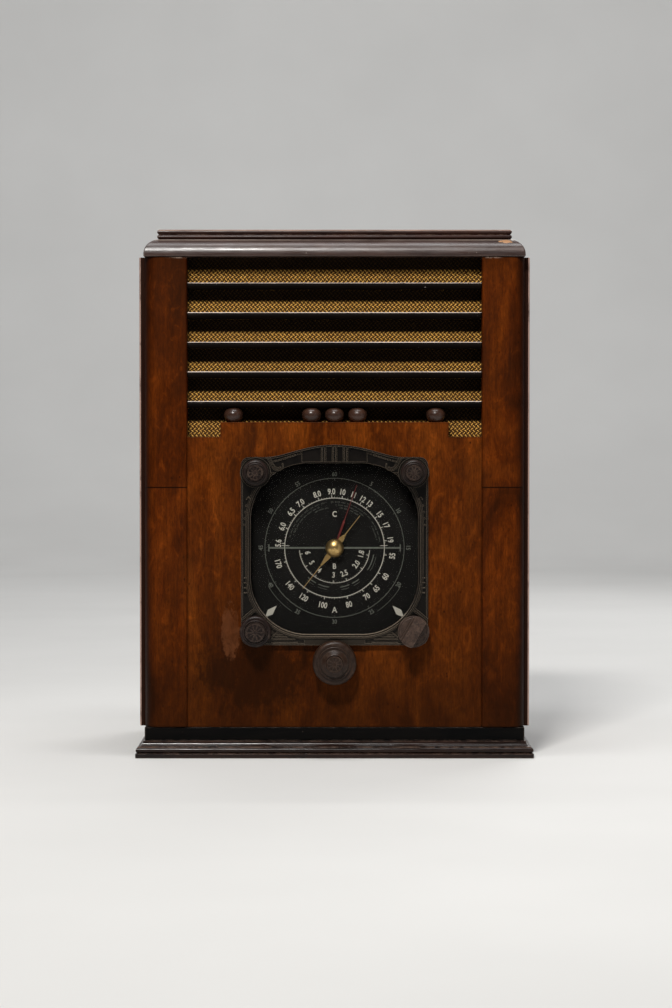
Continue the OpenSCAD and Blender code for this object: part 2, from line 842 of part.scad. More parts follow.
function gear_pts(n, phase = 0) = let (
        rp = tooth * n / 2,
        radii = [rp - 1.3 * tooth, rp - 0.3 * tooth, rp + 0.3 * tooth, rp + 0.9 * tooth])
    [for (k = [0 : n - 1], s = [-1, 1], j = [0 : 3])
        let (r = radii[s < 0 ? j : 3 - j], a = phase + 360 * k / n + s * half_tooth(r, n))
        [r * cos(a), r * sin(a)]];

module gear(n, h, phase = 0) linear_extrude(h) polygon(gear_pts(n, phase));

// A hand that points up from its ring, turned clockwise by angle
module hand_blade(angle, r_in, length, w0, w1) rotate(-angle)
    polygon([[-w0 / 2, 0], [w0 / 2, 0], [w0 / 2, r_in + 2], [w1 / 2, length * 0.42],
             [0.35, length * 0.45], [0.25, length], [-0.25, length], [-0.35, length * 0.45],
             [-w1 / 2, length * 0.42], [-w0 / 2, r_in + 2]]);

module pointer() {
    up_l = 36.7;
    down_l = 45.8;
    color([0.80, 0.62, 0.28]) behind(0, pointer_y, dial_z, pointer_t) difference() {
        union() {
            linear_extrude(pointer_t) {
                hand_blade(pointer_angle, hub_r, up_l, 4.6, 1.4);
                hand_blade(pointer_angle + 180, hub_r, down_l, 4.6, 1.4);
            }
            // Domed hub
            rotate_extrude() intersection() {
                translate([0, hub_l - hub_r * 1.15]) circle(r = hub_r * 1.15 + pointer_t);
                square([hub_r, hub_l + pointer_t]);
            }
        }
        translate([0, 0, -eps]) cylinder(r = rotor_shaft_r, h = hub_l / 2 + eps);
    }
}

module rotor_shaft() {
    front = pointer_y + pointer_t - hub_l / 2;
    length = gang_y + gang_l + 4 - front;
    color([0.75, 0.75, 0.74])
        behind(0, front, dial_z, length) cylinder(r = rotor_shaft_r, h = length);
}

module rotor_gear() {
    color([0.78, 0.66, 0.36]) behind(0, rotor_gear_y, dial_z, gear_w) difference() {
        union() {
            gear(wheel_n, gear_w);
            cylinder(r = 6, h = gear_w + 0.6);
        }
        translate([0, 0, -eps]) cylinder(r = rotor_shaft_r, h = gear_w + 1);
        for (a = [45 : 90 : 315])
            rotate(a) translate([tooth * wheel_n / 3.2, 0, -eps]) cylinder(r = 3, h = gear_w + 1);
    }
}

module second_hand() {
    hand_l = 60;
    color([0.55, 0.10, 0.08]) behind(0, hand_y, dial_z, hand_t) linear_extrude(hand_t) difference() {
        union() {
            circle(r = spindle_r + 1.8);
            hand_blade(hand_angle, spindle_r, hand_l, 1.6, 1.8);
        }
        circle(r = spindle_r);
    }
}

// Tube round the rotor shaft with the belt's wheel and the pinion
module spindle() {
    back = pinion_y + pinion_w;
    length = back - hand_y;
    wheel_z = back - belt_y - wheel_w;
    color([0.76, 0.64, 0.36]) behind(0, hand_y, dial_z, length) difference() {
        union() {
            cylinder(r = spindle_r, h = length);
            gear(pinion_n, pinion_w);
            translate([0, 0, wheel_z - flange_t]) {
                cylinder(r = belt_wheel_r, h = wheel_w + 2 * flange_t);
                for (z = [0, wheel_w + flange_t]) translate([0, 0, z])
                    cylinder(r = belt_wheel_r + belt_t + flange_rise, h = flange_t);
            }
        }
        translate([0, 0, -eps]) cylinder(r = spindle_bore_r, h = length + 2 * eps);
    }
}

module lay_shaft() {
    front = dial_back + 0.2;
    length = gear_plate_y + sheet + 1 - front;
    color([0.75, 0.75, 0.74])
        behind(centre_d, front, dial_z, length) cylinder(r = lay_shaft_r, h = length);
}

// Wheel and pinion on one hub
module lay_gears() {
    back = lay_pinion_y + pinion_w;
    length = back - lay_wheel_y;
    color([0.78, 0.66, 0.36]) behind(centre_d, lay_wheel_y, dial_z, length) difference() {
        union() {
            gear(pinion_n, pinion_w, 180 + 180 / pinion_n);
            cylinder(r = 4, h = length);
            translate([0, 0, length - gear_w]) gear(wheel_n, gear_w, 180 + 180 / wheel_n);
        }
        translate([0, 0, -eps]) cylinder(r = lay_shaft_r, h = length + 2 * eps);
    }
}

module gear_plate() {
    pillar_r = 2.5;
    pillar_l = gear_plate_y - bracket_back;
    left_x = -24;
    right_x = centre_d + 12.4;
    margin = 9;
    color([0.66, 0.66, 0.63]) {
        behind(0, gear_plate_y, dial_z, sheet) linear_extrude(sheet) difference() {
            translate([(left_x + right_x) / 2, 0])
                polygon(round_rect(right_x - left_x + 2 * margin, 46, 8));
            circle(r = rotor_shaft_r + run_play);
            translate([centre_d, 0]) circle(r = lay_shaft_r + run_play);
        }
        for (p = [[left_x, 14], [left_x, -14], [right_x, 16.2], [right_x, -16.2]])
            behind(p[0], bracket_back, dial_z + p[1], pillar_l) cylinder(r = pillar_r, h = pillar_l);
    }
}

// Outline of the belt's inner or outer side, grow away from the pulleys
function belt_pts(grow) = let (
        r1 = belt_wheel_r + grow,
        r2 = belt_pulley_r + grow,
        lean = asin((r1 - r2) / tuning_drop))
    concat(arc(0, 0, r1, -lean, 180 + lean, 24), arc(0, -tuning_drop, r2, 180 + lean, 360 - lean, 24));

module drive_belt() {
    color([0.20, 0.17, 0.14])
        behind(0, belt_y + belt_play, dial_z, belt_w) linear_extrude(belt_w) difference() {
            polygon(belt_pts(pass_gap + belt_t));
            polygon(belt_pts(pass_gap));
        }
}

// Controls
knob_y = boss_y - knob_gap;

// A knob's back is at knob_y, and its +Z runs to its front
module at_knob(x, z) facing(x, knob_y, z) children();

module shaft_bore(length) translate([0, 0, -eps]) cylinder(r = shaft_r, h = length - 5 + eps);

// Half of a bead that runs round a knob, for its turned profile
module knob_bead(r, z) translate([r, z]) circle(d = bead_w);

// Sunk ring in the end of a knob, with radial ribs left standing in it
module knob_rosette(r, length) {
    translate([0, 0, length - rosette_depth]) difference() {
        cylinder(r = r - cap_wall, h = rosette_depth + eps);
        translate([0, 0, -eps]) cylinder(r = rosette_hub, h = rosette_depth + 3 * eps);
        for (i = [0 : rosette_n - 1]) rotate(i * 360 / rosette_n)
            translate([0, -rosette_rib / 2, -eps]) cube([r, rosette_rib, rosette_depth + 3 * eps]);
    }
}

module tuning_knob() {
    r = tuning_d / 2;
    edge = 3;
    rim_h = tuning_l * 0.42;
    step_h = tuning_l * 0.60;
    crown_z = tuning_l * 0.78;
    step_r = r - 1.6 * edge;
    inner_r = r - 2.5 * edge;
    cap_r = 7.1;
    color([0.24, 0.17, 0.14]) at_knob(0, tuning_z) difference() {
        rotate_extrude() {
            square([r, rim_h]);
            translate([r - edge, rim_h]) intersection() {
                circle(r = edge);
                square(edge);
            }
            square([r - edge, rim_h + edge]);
            square([step_r, step_h]);
            knob_bead(step_r - bead_w / 2, step_h);
            polygon([[0, 0], [inner_r, 0], [inner_r, step_h + 1], [cap_r + 1, crown_z], [0, crown_z]]);
            knob_bead(inner_r - bead_w / 2, step_h + 1);
            square([cap_r, tuning_l]);
            knob_bead(cap_r + bead_w / 2, crown_z);
        }
        knob_rosette(cap_r, tuning_l);
        shaft_bore(tuning_l);
    }
}

// Stepped round knob
module step_knob(d, length) {
    r = d / 2;
    edge = 2;
    rim_h = length * 0.30;
    step_h = length * 0.70;
    neck_h = length * 0.86;
    step_r = r * 0.76;
    cap_r = r * 0.58;
    difference() {
        rotate_extrude() {
            square([r, rim_h]);
            translate([r - edge, rim_h]) intersection() {
                circle(r = edge);
                square(edge);
            }
            square([r - edge, rim_h + edge]);
            square([step_r, step_h]);
            knob_bead(step_r - bead_w / 2, step_h);
            square([cap_r + 0.8, neck_h]);
            square([cap_r, length]);
        }
        knob_rosette(cap_r, length);
        shaft_bore(length);
    }
}

module upper_knob() {
    color([0.24, 0.18, 0.15]) at_knob(corner_x, upper_z) step_knob(upper_d, upper_l);
}
module fidelity_knob() upper_knob();
module tone_knob() mirror([1, 0, 0]) upper_knob();
module volume_knob() {
    color([0.24, 0.18, 0.15]) at_knob(-corner_x, lower_z) step_knob(lower_d, lower_l);
}

// Round foot with a flat-sided bar grip
module band_knob() {
    r = lower_d / 2;
    foot_h = lower_l * 0.34;
    color([0.42, 0.31, 0.23]) at_knob(corner_x, lower_z) difference() {
        union() {
            cylinder(r = r, h = foot_h);
            cylinder(r = r - 1.6, h = foot_h + 1.4);
            rotate(-bar_angle) linear_extrude(lower_l) intersection() {
                circle(r = r - 0.4);
                square([bar_w, 2 * r], center = true);
            }
            // Low shoulder beside the grip
            rotate(-bar_angle) linear_extrude((foot_h + lower_l) / 2) intersection() {
                circle(r = r - 0.8);
                square([bar_w + 3.2, 2 * r], center = true);
            }
        }
        shaft_bore(lower_l);
    }
}

// A control's shaft, from inside its case to inside its knob
module control_shaft(x, z, case_y, knob_l) {
    front = knob_y - knob_l + 5;
    length = case_y + pot_l / 2 - 1 - front;
    color([0.72, 0.72, 0.70])
        behind(x, front, z, length) cylinder(r = shaft_r, h = length);
}
module tone_shaft() control_shaft(-corner_x, upper_z, bracket_back, upper_l);
module fidelity_shaft() control_shaft(corner_x, upper_z, bracket_back, upper_l);
module volume_shaft() control_shaft(-corner_x, lower_z, pan_y + sheet, lower_l);
module band_shaft() control_shaft(corner_x, lower_z, pan_y + sheet, lower_l);

module tuning_shaft() {
    front = knob_y - tuning_l + 5;
    length = pan_y + sheet + 8 - front;
    back = pan_y + sheet + 8;
    color([0.72, 0.72, 0.70]) behind(0, front, tuning_z, length) {
        cylinder(r = shaft_r, h = length);
        translate([0, 0, back - belt_y - wheel_w - flange_t]) {
            cylinder(r = belt_pulley_r, h = wheel_w + 2 * flange_t);
            for (z = [0, wheel_w + flange_t]) translate([0, 0, z])
                cylinder(r = belt_pulley_r + belt_t + flange_rise, h = flange_t);
        }
    }
}

// Threaded bush and nut that hold a round case behind a plate
module bushed_case(case_d, case_l, plate, out) {
    cylinder(d = case_d, h = case_l);
    cylinder(r = bush_r, h = case_l + plate + out);
    translate([0, 0, case_l + plate]) cylinder(r = nut_r, h = nut_t, $fn = 6);
}

bush_out = 3.6;

module tuning_bush() {
    flange = 2;
    length = flange + sheet + bush_out;
    color([0.76, 0.64, 0.36]) behind(0, pan_y - bush_out, tuning_z, length) difference() {
        bushed_case(2 * bush_r + 5, flange, sheet, bush_out);
        translate([0, 0, -eps]) cylinder(r = shaft_r + run_play, h = length + 2 * eps);
    }
}

module potentiometer(x, z, case_y) {
    length = pot_l + sheet + bush_out;
    behind(x, case_y - sheet - bush_out, z, length) difference() {
        union() {
            bushed_case(pot_d, pot_l, sheet, bush_out);
            // Terminals
            for (t = [-6, 0, 6]) translate([t - 1, -pot_d / 2 - 6, 1]) cube([2, 8, 1]);
        }
        translate([0, 0, pot_l / 2]) cylinder(r = shaft_r + run_play, h = length);
    }
}

module potentiometers() {
    color([0.55, 0.54, 0.52]) {
        potentiometer(-corner_x, upper_z, bracket_back);
        potentiometer(corner_x, upper_z, bracket_back);
        potentiometer(-corner_x, lower_z, pan_y + sheet);
    }
}

// Rotary switch: a bushed plate and two contact wafers on its rods
module band_switch() {
    wafer_r = 13;
    wafer_t = 1.6;
    wafer_pitch = 9;
    head_l = pot_l;
    length = head_l + sheet + bush_out;
    color([0.50, 0.38, 0.24]) {
        behind(corner_x, pan_y - bush_out, lower_z, length) difference() {
            bushed_case(pot_d, head_l, sheet, bush_out);
            translate([0, 0, pot_l / 2]) cylinder(r = shaft_r + run_play, h = length);
        }
        for (i = [1, 2])
            behind(corner_x, pan_y + sheet + head_l + i * wafer_pitch - wafer_t, lower_z, wafer_t)
                cylinder(r = wafer_r, h = wafer_t);
        for (s = [-1, 1])
            behind(corner_x + s * (wafer_r - 3), pan_y + sheet + head_l, lower_z, 2 * wafer_pitch)
                cylinder(r = 1.4, h = 2 * wafer_pitch);
    }
}

// Tuning gang
function section_y(i) = gang_y + gang_plate_t + i * (section_l + gang_plate_t);

module half_disc(r) intersection() {
    circle(r = r);
    translate([0, -r]) square([r, 2 * r]);
}

module rotor_blades() {
    sleeve_r = 5.2;
    end_gap = 1.2;
    color([0.80, 0.80, 0.78]) for (i = [0 : gang_sections - 1]) difference() {
        union() {
            behind(0, section_y(i) + end_gap, dial_z, section_l - 2 * end_gap)
                cylinder(r = sleeve_r, h = section_l - 2 * end_gap);
            for (j = [0 : blades - 1])
                behind(0, section_y(i) + 3 + (j + 0.5) * blade_pitch - blade_t / 2, dial_z, blade_t)
                    linear_extrude(blade_t) rotate(90 - pointer_angle) half_disc(rotor_r);
        }
        behind(0, section_y(i) - eps, dial_z, section_l + 2 * eps)
            cylinder(r = rotor_shaft_r, h = section_l + 2 * eps);
    }
}

stator_rod_at = [for (a = [135, 225]) (rotor_r + 2.7) * [cos(a), sin(a)]];

module stator_blades() {
    stator_r = rotor_r + 4.8;
    color([0.78, 0.78, 0.74]) for (i = [0 : gang_sections - 1]) {
        for (j = [0 : blades])
            behind(0, section_y(i) + 3 + j * blade_pitch - blade_t / 2, dial_z, blade_t)
                linear_extrude(blade_t) difference() {
                    rotate(180) translate([2.5, 0]) half_disc(stator_r - 2.5);
                    circle(r = stator_gap_r);
                }
        for (p = stator_rod_at)
            behind(p[0], section_y(i) + insulator_t, dial_z + p[1], section_l - 2 * insulator_t)
                cylinder(r = 1.3, h = section_l - 2 * insulator_t);
    }
}

module stator_insulators() {
    color([0.86, 0.82, 0.72]) for (i = [0 : gang_sections - 1], p = stator_rod_at,
                                   y = [section_y(i), section_y(i) + section_l - insulator_t])
        behind(p[0], y, dial_z + p[1], insulator_t) cylinder(r = 3, h = insulator_t);
}

module gang_frame() {
    h = 2 * gang_half;
    foot_l = 8;
    color([0.70, 0.70, 0.66]) {
        for (i = [0 : gang_sections]) {
            outer = i == 0 || i == gang_sections;
            y = gang_y + i * (section_l + gang_plate_t);
            behind(0, y, dial_z, gang_plate_t) linear_extrude(gang_plate_t) difference() {
                union() {
                    polygon(round_rect(2 * gang_half, h, 8, 6));
                    translate([-gang_half, -gang_half]) square([2 * gang_half, 9]);
                    if (outer) translate([-gang_half + 6, -gang_half - gang_foot_h])
                        square([2 * gang_half - 12, gang_foot_h + 1]);
                }
                circle(r = rotor_shaft_r + run_play);
                if (outer) translate([0, -gang_half - gang_foot_h / 2 - 2]) square([20, 14], center = true);
            }
        }
        translate([0, gang_y, dial_z - gang_half]) centred_box(2 * gang_half, gang_l, gang_plate_t);
        for (y = [gang_y - foot_l, gang_y + gang_l])
            translate([0, y, pan_top]) centred_box(2 * gang_half - 12, foot_l, gang_plate_t);
    }
}

// Chassis layout, as places on the deck
core_w = 74;
core_h = 62;
core_stack = 30;
rectifier_r = 23;
output_valve_r = 19;
can_w = 35;
capacitor_r = 17.5;
deck_gap = 2;
front_row = pan_y + 37;
middle_row = pan_y + 95;
rear_row = pan_back - 28;
transformer_x = (pan_w - core_w) / 2;
transformer_at = [transformer_x, pan_back - 52];
rectifier_at = [transformer_x, pan_y + 58];
output_valve_x = transformer_x - core_w / 2 - output_valve_r - deck_gap;
output_valve_at = [output_valve_x, rear_row];
metal_valve_x = -pan_w / 2 + 32;
metal_valve_at = [for (y = [front_row, middle_row, rear_row]) [metal_valve_x, y]];
// The rear row shares the way from the metal valves to the output valve evenly
row_step = (output_valve_x - metal_valve_x) / 3;
capacitor_at = [for (i = [1, 2]) [metal_valve_x + i * row_step, rear_row]];
coil_can_x = metal_valve_x + 0.885 * row_step;
coil_can_at = [for (y = [front_row, middle_row]) [coil_can_x, y]];
valve_hole_r = 13.5;
socket_r = 17;
socket_t = 2.4;

// Folded steel pan, open below, with tabs over the rubber mounts
module chassis_pan() {
    inner_w = pan_w - 2 * sheet;
    color([0.60, 0.60, 0.58]) difference() {
        union() {
            difference() {
                translate([0, pan_y, pan_z]) centred_box(pan_w, pan_d, pan_h);
                translate([0, pan_y + sheet, pan_z - eps])
                    centred_box(inner_w, pan_d - 2 * sheet, pan_h - sheet + eps);
            }
            for (s = [-1, 1], y = tab_y)
                translate([s * mount_x - tab_w / 2, y - tab_d / 2, pan_z]) cube([tab_w, tab_d, sheet]);
        }
        for (s = [-1, 1], y = tab_y)
            translate([s * mount_x, y, pan_z - eps]) cylinder(r = mount_bore_r, h = sheet + 2 * eps);
        for (p = concat(metal_valve_at, [rectifier_at, output_valve_at]))
            translate([p[0], p[1], pan_top - sheet - eps]) cylinder(r = valve_hole_r, h = sheet + 2 * eps);
        // Bushes of the tuning shaft, the volume control and the band switch
        behind(0, pan_y - eps, tuning_z, sheet + 2 * eps)
            cylinder(r = bush_r + run_play, h = sheet + 2 * eps);
        for (x = [-corner_x, corner_x]) behind(x, pan_y - eps, lower_z, sheet + 2 * eps)
            cylinder(r = bush_r + run_play, h = sheet + 2 * eps);
        // Holes in the rear apron for the aerial strip and the mains lead
        translate([-strip_x, pan_back, pan_z + pan_h / 2]) rotate([90, 0, 0])
            linear_extrude(4 * sheet, center = true) square([strip_w - 20, 10], center = true);
        translate([grommet_x, pan_back, pan_z + pan_h / 2]) rotate([90, 0, 0])
            cylinder(r = grommet_r, h = 4 * sheet, center = true);
    }
}

module chassis_mounts() {
    color([0.09, 0.09, 0.09]) for (s = [-1, 1], y = tab_y)
        translate([s * mount_x, y, shelf_z]) difference() {
            cylinder(r = mount_r, h = mount_h);
            translate([0, 0, -eps]) cylinder(r = mount_bore_r, h = mount_h + 2 * eps);
        }
}

// Screws from the tabs through the rubber mounts into the shelf
module chassis_bolts() {
    head_r = 5;
    length = shelf_t + mount_h + sheet;
    color([0.62, 0.61, 0.58]) for (s = [-1, 1], y = tab_y)
        translate([s * mount_x, y, pan_z + sheet - length]) {
            cylinder(r = bolt_r, h = length);
            translate([0, 0, length]) difference() {
                cylinder(r1 = head_r, r2 = head_r - 1.4, h = 3);
                translate([-head_r, -0.6, 1.6]) cube([2 * head_r, 1.2, 2]);
            }
        }
}

// Laminated core lying on the deck between two drawn covers
module power_transformer() {
    bell_w = core_w - 16;
    bell_h = core_h - 12;
    bell_l = 13;
    r = 6;
    color([0.10, 0.10, 0.11]) translate([transformer_at[0], transformer_at[1], pan_top]) {
        rotate([90, 0, 0]) translate([0, core_h / 2, 0]) linear_extrude(core_stack, center = true)
            polygon(round_rect(core_w, core_h, 2, 2));
        for (s = [0, 180]) rotate([0, 0, s]) hull() {
            translate([0, core_stack / 2, core_h / 2]) rotate([-90, 0, 0]) linear_extrude(bell_l / 2)
                square([bell_w, bell_h], center = true);
            translate([0, core_stack / 2, core_h / 2]) rotate([-90, 0, 0]) linear_extrude(bell_l)
                square([bell_w - 2 * r, bell_h - 2 * r], center = true);
        }
    }
}

// Round base with its key and pins, standing in a socket
module valve_base(r, h) {
    pin_r = 1.2;
    pin_l = socket_t + 4;
    translate([0, 0, socket_t]) cylinder(r = r, h = h);
    for (i = [0 : 7]) rotate(22.5 + 45 * i) translate([8.7, 0, socket_t - pin_l])
        cylinder(r = pin_r, h = pin_l + eps);
}

// Shouldered glass envelope on its base
module glass_valve(r, h) {
    base_r = 16;
    base_l = 24;
    neck = base_r - 3;
    shoulder = h * 0.52;
    dome_r = r * 0.55;
    valve_base(base_r, base_l);
    translate([0, 0, socket_t + base_l - 1]) rotate_extrude() {
        square([neck, 6]);
        polygon(concat([[0, 4], [neck, 4]],
            arc(r - 9, shoulder - 8, 9, -38, 62, 8),
            [[dome_r + 0.5, shoulder + 12]],
            arc(0, h - base_l - dome_r, dome_r, 0, 90, 8)));
    }
}

module glass_valves() {
    rectifier_h = 100;
    output_valve_h = 88;
    color([0.30, 0.32, 0.34, 0.6]) {
        translate([rectifier_at[0], rectifier_at[1], pan_top]) glass_valve(rectifier_r, rectifier_h);
        translate([output_valve_at[0], output_valve_at[1], pan_top])
            glass_valve(output_valve_r, output_valve_h);
    }
}

// Steel-shelled valve
module metal_valves() {
    r = 13;
    base_r = 16.5;
    h = 58;
    color([0.16, 0.16, 0.17]) for (p = metal_valve_at) translate([p[0], p[1], pan_top]) {
        valve_base(base_r, 8);
        translate([0, 0, socket_t + 7]) cylinder(r = r, h = h - 12);
        translate([0, 0, socket_t + h - 5]) cylinder(r1 = r, r2 = r - 4, h = 4);
        translate([0, 0, socket_t + h - 1.5]) cylinder(r = 4, h = 7);
    }
}

module valve_sockets() {
    ring_r = 8.7;
    color([0.15, 0.12, 0.10])
        for (p = concat(metal_valve_at, [rectifier_at, output_valve_at]))
            translate([p[0], p[1], pan_top]) difference() {
                union() {
                    cylinder(r = socket_r, h = socket_t);
                    translate([0, 0, -sheet - 3]) cylinder(r = valve_hole_r - 0.3, h = sheet + 3 + eps);
                }
                for (i = [0 : 7]) rotate(22.5 + 45 * i) translate([ring_r, 0, -sheet - 4])
                    cylinder(r = 1.3, h = 10);
            }
}

// Square screening cans and round capacitor cans
module coil_cans() {
    can_h = 84;
    capacitor_h = 72;
    color([0.78, 0.78, 0.76]) {
        for (p = coil_can_at) translate([p[0], p[1], pan_top]) difference() {
            linear_extrude(can_h) polygon(round_rect(can_w, can_w, 4, 4));
            for (x = [-8, 8]) translate([x, 0, can_h - 2]) cylinder(r = 2.6, h = 3);
        }
        for (p = capacitor_at) translate([p[0], p[1], pan_top]) {
            cylinder(r = capacitor_r, h = capacitor_h - 2);
            translate([0, 0, capacitor_h - 2]) cylinder(r1 = capacitor_r, r2 = capacitor_r - 2, h = 2);
            cylinder(r = capacitor_r + 2, h = 2);
        }
    }
}

strip_x = 70;
strip_w = 72;
grommet_x = 95;
grommet_r = 6;

// Insulating strip with three screw terminals, and the mains lead's grommet
module aerial_strip() {
    strip_h = 22;
    strip_t = 1.6;
    screw_pitch = 24;
    at_z = pan_z + pan_h / 2;
    color([0.40, 0.25, 0.14]) {
        translate([-strip_x, pan_back, at_z - strip_h / 2]) centred_box(strip_w, strip_t, strip_h);
        for (i = [-1 : 1]) translate([-strip_x + i * screw_pitch, pan_back + strip_t, at_z])
            rotate([-90, 0, 0]) difference() {
                cylinder(r = 4, h = 3);
                translate([-5, -0.5, 1.6]) cube([10, 1, 2]);
            }
        translate([grommet_x, pan_back - sheet, at_z]) rotate([-90, 0, 0]) difference() {
            union() {
                cylinder(r = grommet_r, h = sheet);
                translate([0, 0, sheet]) cylinder(r = grommet_r + 2.5, h = 2.2);
            }
            translate([0, 0, -eps]) cylinder(r = grommet_r - 2, h = 10);
        }
    }
}

// Loudspeaker on the back of the baffle
pot_r = 31;
speaker_pot_l = 46;
cone_neck_r = 14;
speaker_rim = 3;
// A place on the loudspeaker's axis, d behind the baffle
module on_speaker(d, h) behind(0, baffle_back + d, speaker_z, h) children();

module speaker_basket() {
    r = speaker_d / 2;
    wall = 1.4;
    window_n = 4;
    depth = basket_l - speaker_rim;
    rim_r = r - 9;
    color([0.24, 0.24, 0.25]) {
        on_speaker(0, speaker_rim) difference() {
            cylinder(r = r, h = speaker_rim);
            translate([0, 0, -eps]) cylinder(r = rim_r - wall, h = speaker_rim + 2 * eps);
            for (a = [45 : 90 : 315]) rotate(a) translate([r - 4.5, 0, -eps])
                cylinder(r = 2.4, h = speaker_rim + 2 * eps);
        }
        on_speaker(speaker_rim, depth) difference() {
            cylinder(r1 = pot_r + 1, r2 = rim_r, h = depth);
            translate([0, 0, wall])
                cylinder(r1 = pot_r + 1 - wall, r2 = rim_r - wall, h = depth - wall + eps);
            translate([0, 0, -eps]) cylinder(r = cone_neck_r + 2, h = 3);
            for (i = [0 : window_n - 1]) rotate(i * 360 / window_n + 45)
                translate([pot_r + 2, 0, depth / 2 + 2]) rotate([0, 90, 0])
                    linear_extrude(60) square([depth - 18, 44], center = true);
        }
    }
}

// Paper cone with its rolled edge and dust cap
module speaker_cone() {
    paper = 1;
    rim_r = speaker_d / 2 - 9 - 3;
    depth = basket_l - speaker_rim - 9;
    color([0.30, 0.24, 0.19]) {
        on_speaker(0, depth) {
            difference() {
                cylinder(r1 = cone_neck_r, r2 = rim_r, h = depth);
                translate([0, 0, -eps])
                    cylinder(r1 = cone_neck_r - paper, r2 = rim_r - paper, h = depth + 3 * eps);
            }
            // Surround that lies on the rim
            translate([0, 0, depth - paper]) difference() {
                cylinder(r = rim_r + 1.5, h = paper);
                translate([0, 0, -eps]) cylinder(r = rim_r - paper, h = paper + 2 * eps);
            }
            intersection() {
                translate([0, 0, -8]) sphere(r = 18);
                translate([0, 0, 0.5]) cylinder(r = cone_neck_r, h = 20);
            }
        }
    }
}

// Steel pot of the field coil
module field_coil() {
    color([0.14, 0.14, 0.15]) on_speaker(basket_l, speaker_pot_l) {
        cylinder(r = pot_r, h = speaker_pot_l);
        translate([0, 0, -2]) cylinder(r = pot_r - 9, h = 2 + eps);
    }
}

// Output transformer on a strap across the top of the basket's rear
module output_transformer() {
    stack_w = 46;
    stack_d = 16;
    stack_h = 38;
    coil_w = stack_w - 14;
    coil_d = stack_d + 12;
    coil_h = stack_h - 18;
    strap_d = 26;
    strap = 1.6;
    stack_y = baffle_back + basket_l + 13;
    z0 = speaker_z + pot_r;
    color([0.12, 0.11, 0.11]) {
        translate([0, stack_y + (stack_d - strap_d) / 2, z0]) centred_box(stack_w + 16, strap_d, strap);
        translate([0, stack_y, z0 + strap]) centred_box(stack_w, stack_d, stack_h);
        translate([0, stack_y + (stack_d - coil_d) / 2, z0 + strap + (stack_h - coil_h) / 2])
            centred_box(coil_w, coil_d, coil_h);
    }
}

base_moulding();
plinth();
chassis_shelf();
left_side_board();
right_side_board();
left_pilaster();
right_pilaster();
front_panel();
top_board();
top_plate();
corner_blocks();
baffle_board();
grille_cloth();
louvre_slats();
ledge_beads();
escutcheon();
dial_glass();
dial_plate();
dial_bracket();
gear_plate();
lamp_sockets();
pilot_lamps();
pointer();
rotor_shaft();
rotor_gear();
rotor_blades();
second_hand();
spindle();
lay_shaft();
lay_gears();
drive_belt();
tuning_knob();
tuning_shaft();
tuning_bush();
gang_frame();
stator_blades();
stator_insulators();
tone_knob();
tone_shaft();
fidelity_knob();
fidelity_shaft();
volume_knob();
volume_shaft();
band_knob();
band_shaft();
potentiometers();
band_switch();
chassis_pan();
chassis_mounts();
chassis_bolts();
power_transformer();
glass_valves();
metal_valves();
valve_sockets();
coil_cans();
aerial_strip();
speaker_basket();
speaker_cone();
field_coil();
output_transformer();
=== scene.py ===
"""Looks of a tombstone radio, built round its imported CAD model. Sizes are in metres."""

import math
import random

import bmesh
import bpy
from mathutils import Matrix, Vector, noise


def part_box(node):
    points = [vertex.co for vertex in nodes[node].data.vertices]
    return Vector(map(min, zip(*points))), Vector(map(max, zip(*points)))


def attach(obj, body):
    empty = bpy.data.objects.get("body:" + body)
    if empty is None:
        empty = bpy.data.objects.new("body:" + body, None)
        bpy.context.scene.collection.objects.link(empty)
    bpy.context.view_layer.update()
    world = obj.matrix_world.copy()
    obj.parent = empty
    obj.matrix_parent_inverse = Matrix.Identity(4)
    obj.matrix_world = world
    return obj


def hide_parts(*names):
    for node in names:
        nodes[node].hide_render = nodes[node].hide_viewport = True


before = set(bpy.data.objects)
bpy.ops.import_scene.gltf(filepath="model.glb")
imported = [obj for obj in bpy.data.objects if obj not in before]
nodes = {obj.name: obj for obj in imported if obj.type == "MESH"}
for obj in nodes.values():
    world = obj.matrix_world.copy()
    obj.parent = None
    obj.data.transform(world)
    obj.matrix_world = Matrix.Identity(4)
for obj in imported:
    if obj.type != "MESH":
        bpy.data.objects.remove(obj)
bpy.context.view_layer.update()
MM = 0.001

# Camera, fitted to the photograph's perspective
CAMERA_AT = (0.0013, -2.4155, 0.282)
CAMERA_PITCH = 1.4
CAMERA_LENS = 92.4

# Places that the frame gives
panel_lo, panel_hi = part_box("front_panel")
FOOT_Z = panel_lo.z
plate_lo, plate_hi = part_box("dial_plate")
DIAL_Z = (plate_lo.z + plate_hi.z) / 2
DIAL_Y = plate_lo.y
pilaster_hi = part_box("right_pilaster")[1]
WALL_TOP = pilaster_hi.z
side_lo, side_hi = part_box("right_side_board")
# The glass valves have moulded bases of this height on the chassis
VALVE_BASE_H = 0.0264
VALVE_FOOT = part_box("chassis_pan")[1].z + VALVE_BASE_H

# Height of the joint in the pilasters' veneer
SEAM_Z = 0.2405
# Ovals on the front, each with its middle and its half size in x and z: a painted shadow below the lower
# knobs, a scuff and a chip
KNOB_SHADOW = ((-0.070, 0.078), (0.052, 0.040))
SCUFF = ((-0.0925, 0.112), (0.0085, 0.025))
TOP_CHIP = ((0.1515, 0.4590), (0.0044, 0.0016))


def material(name):
    """A new node material, its tree and its principled shader."""
    mat = bpy.data.materials.new(name)
    mat.use_nodes = True
    tree = mat.node_tree
    return mat, tree, tree.nodes["Principled BSDF"]


def node(tree, kind, inputs=None, **settings):
    """A node with its settings, whose inputs are values or sockets to link."""
    made = tree.nodes.new(kind)
    for key, value in settings.items():
        setattr(made, key, value)
    for key, value in (inputs or {}).items():
        socket = made.inputs[key]
        if isinstance(value, bpy.types.NodeSocket):
            tree.links.new(value, socket)
        else:
            socket.default_value = value
    return made


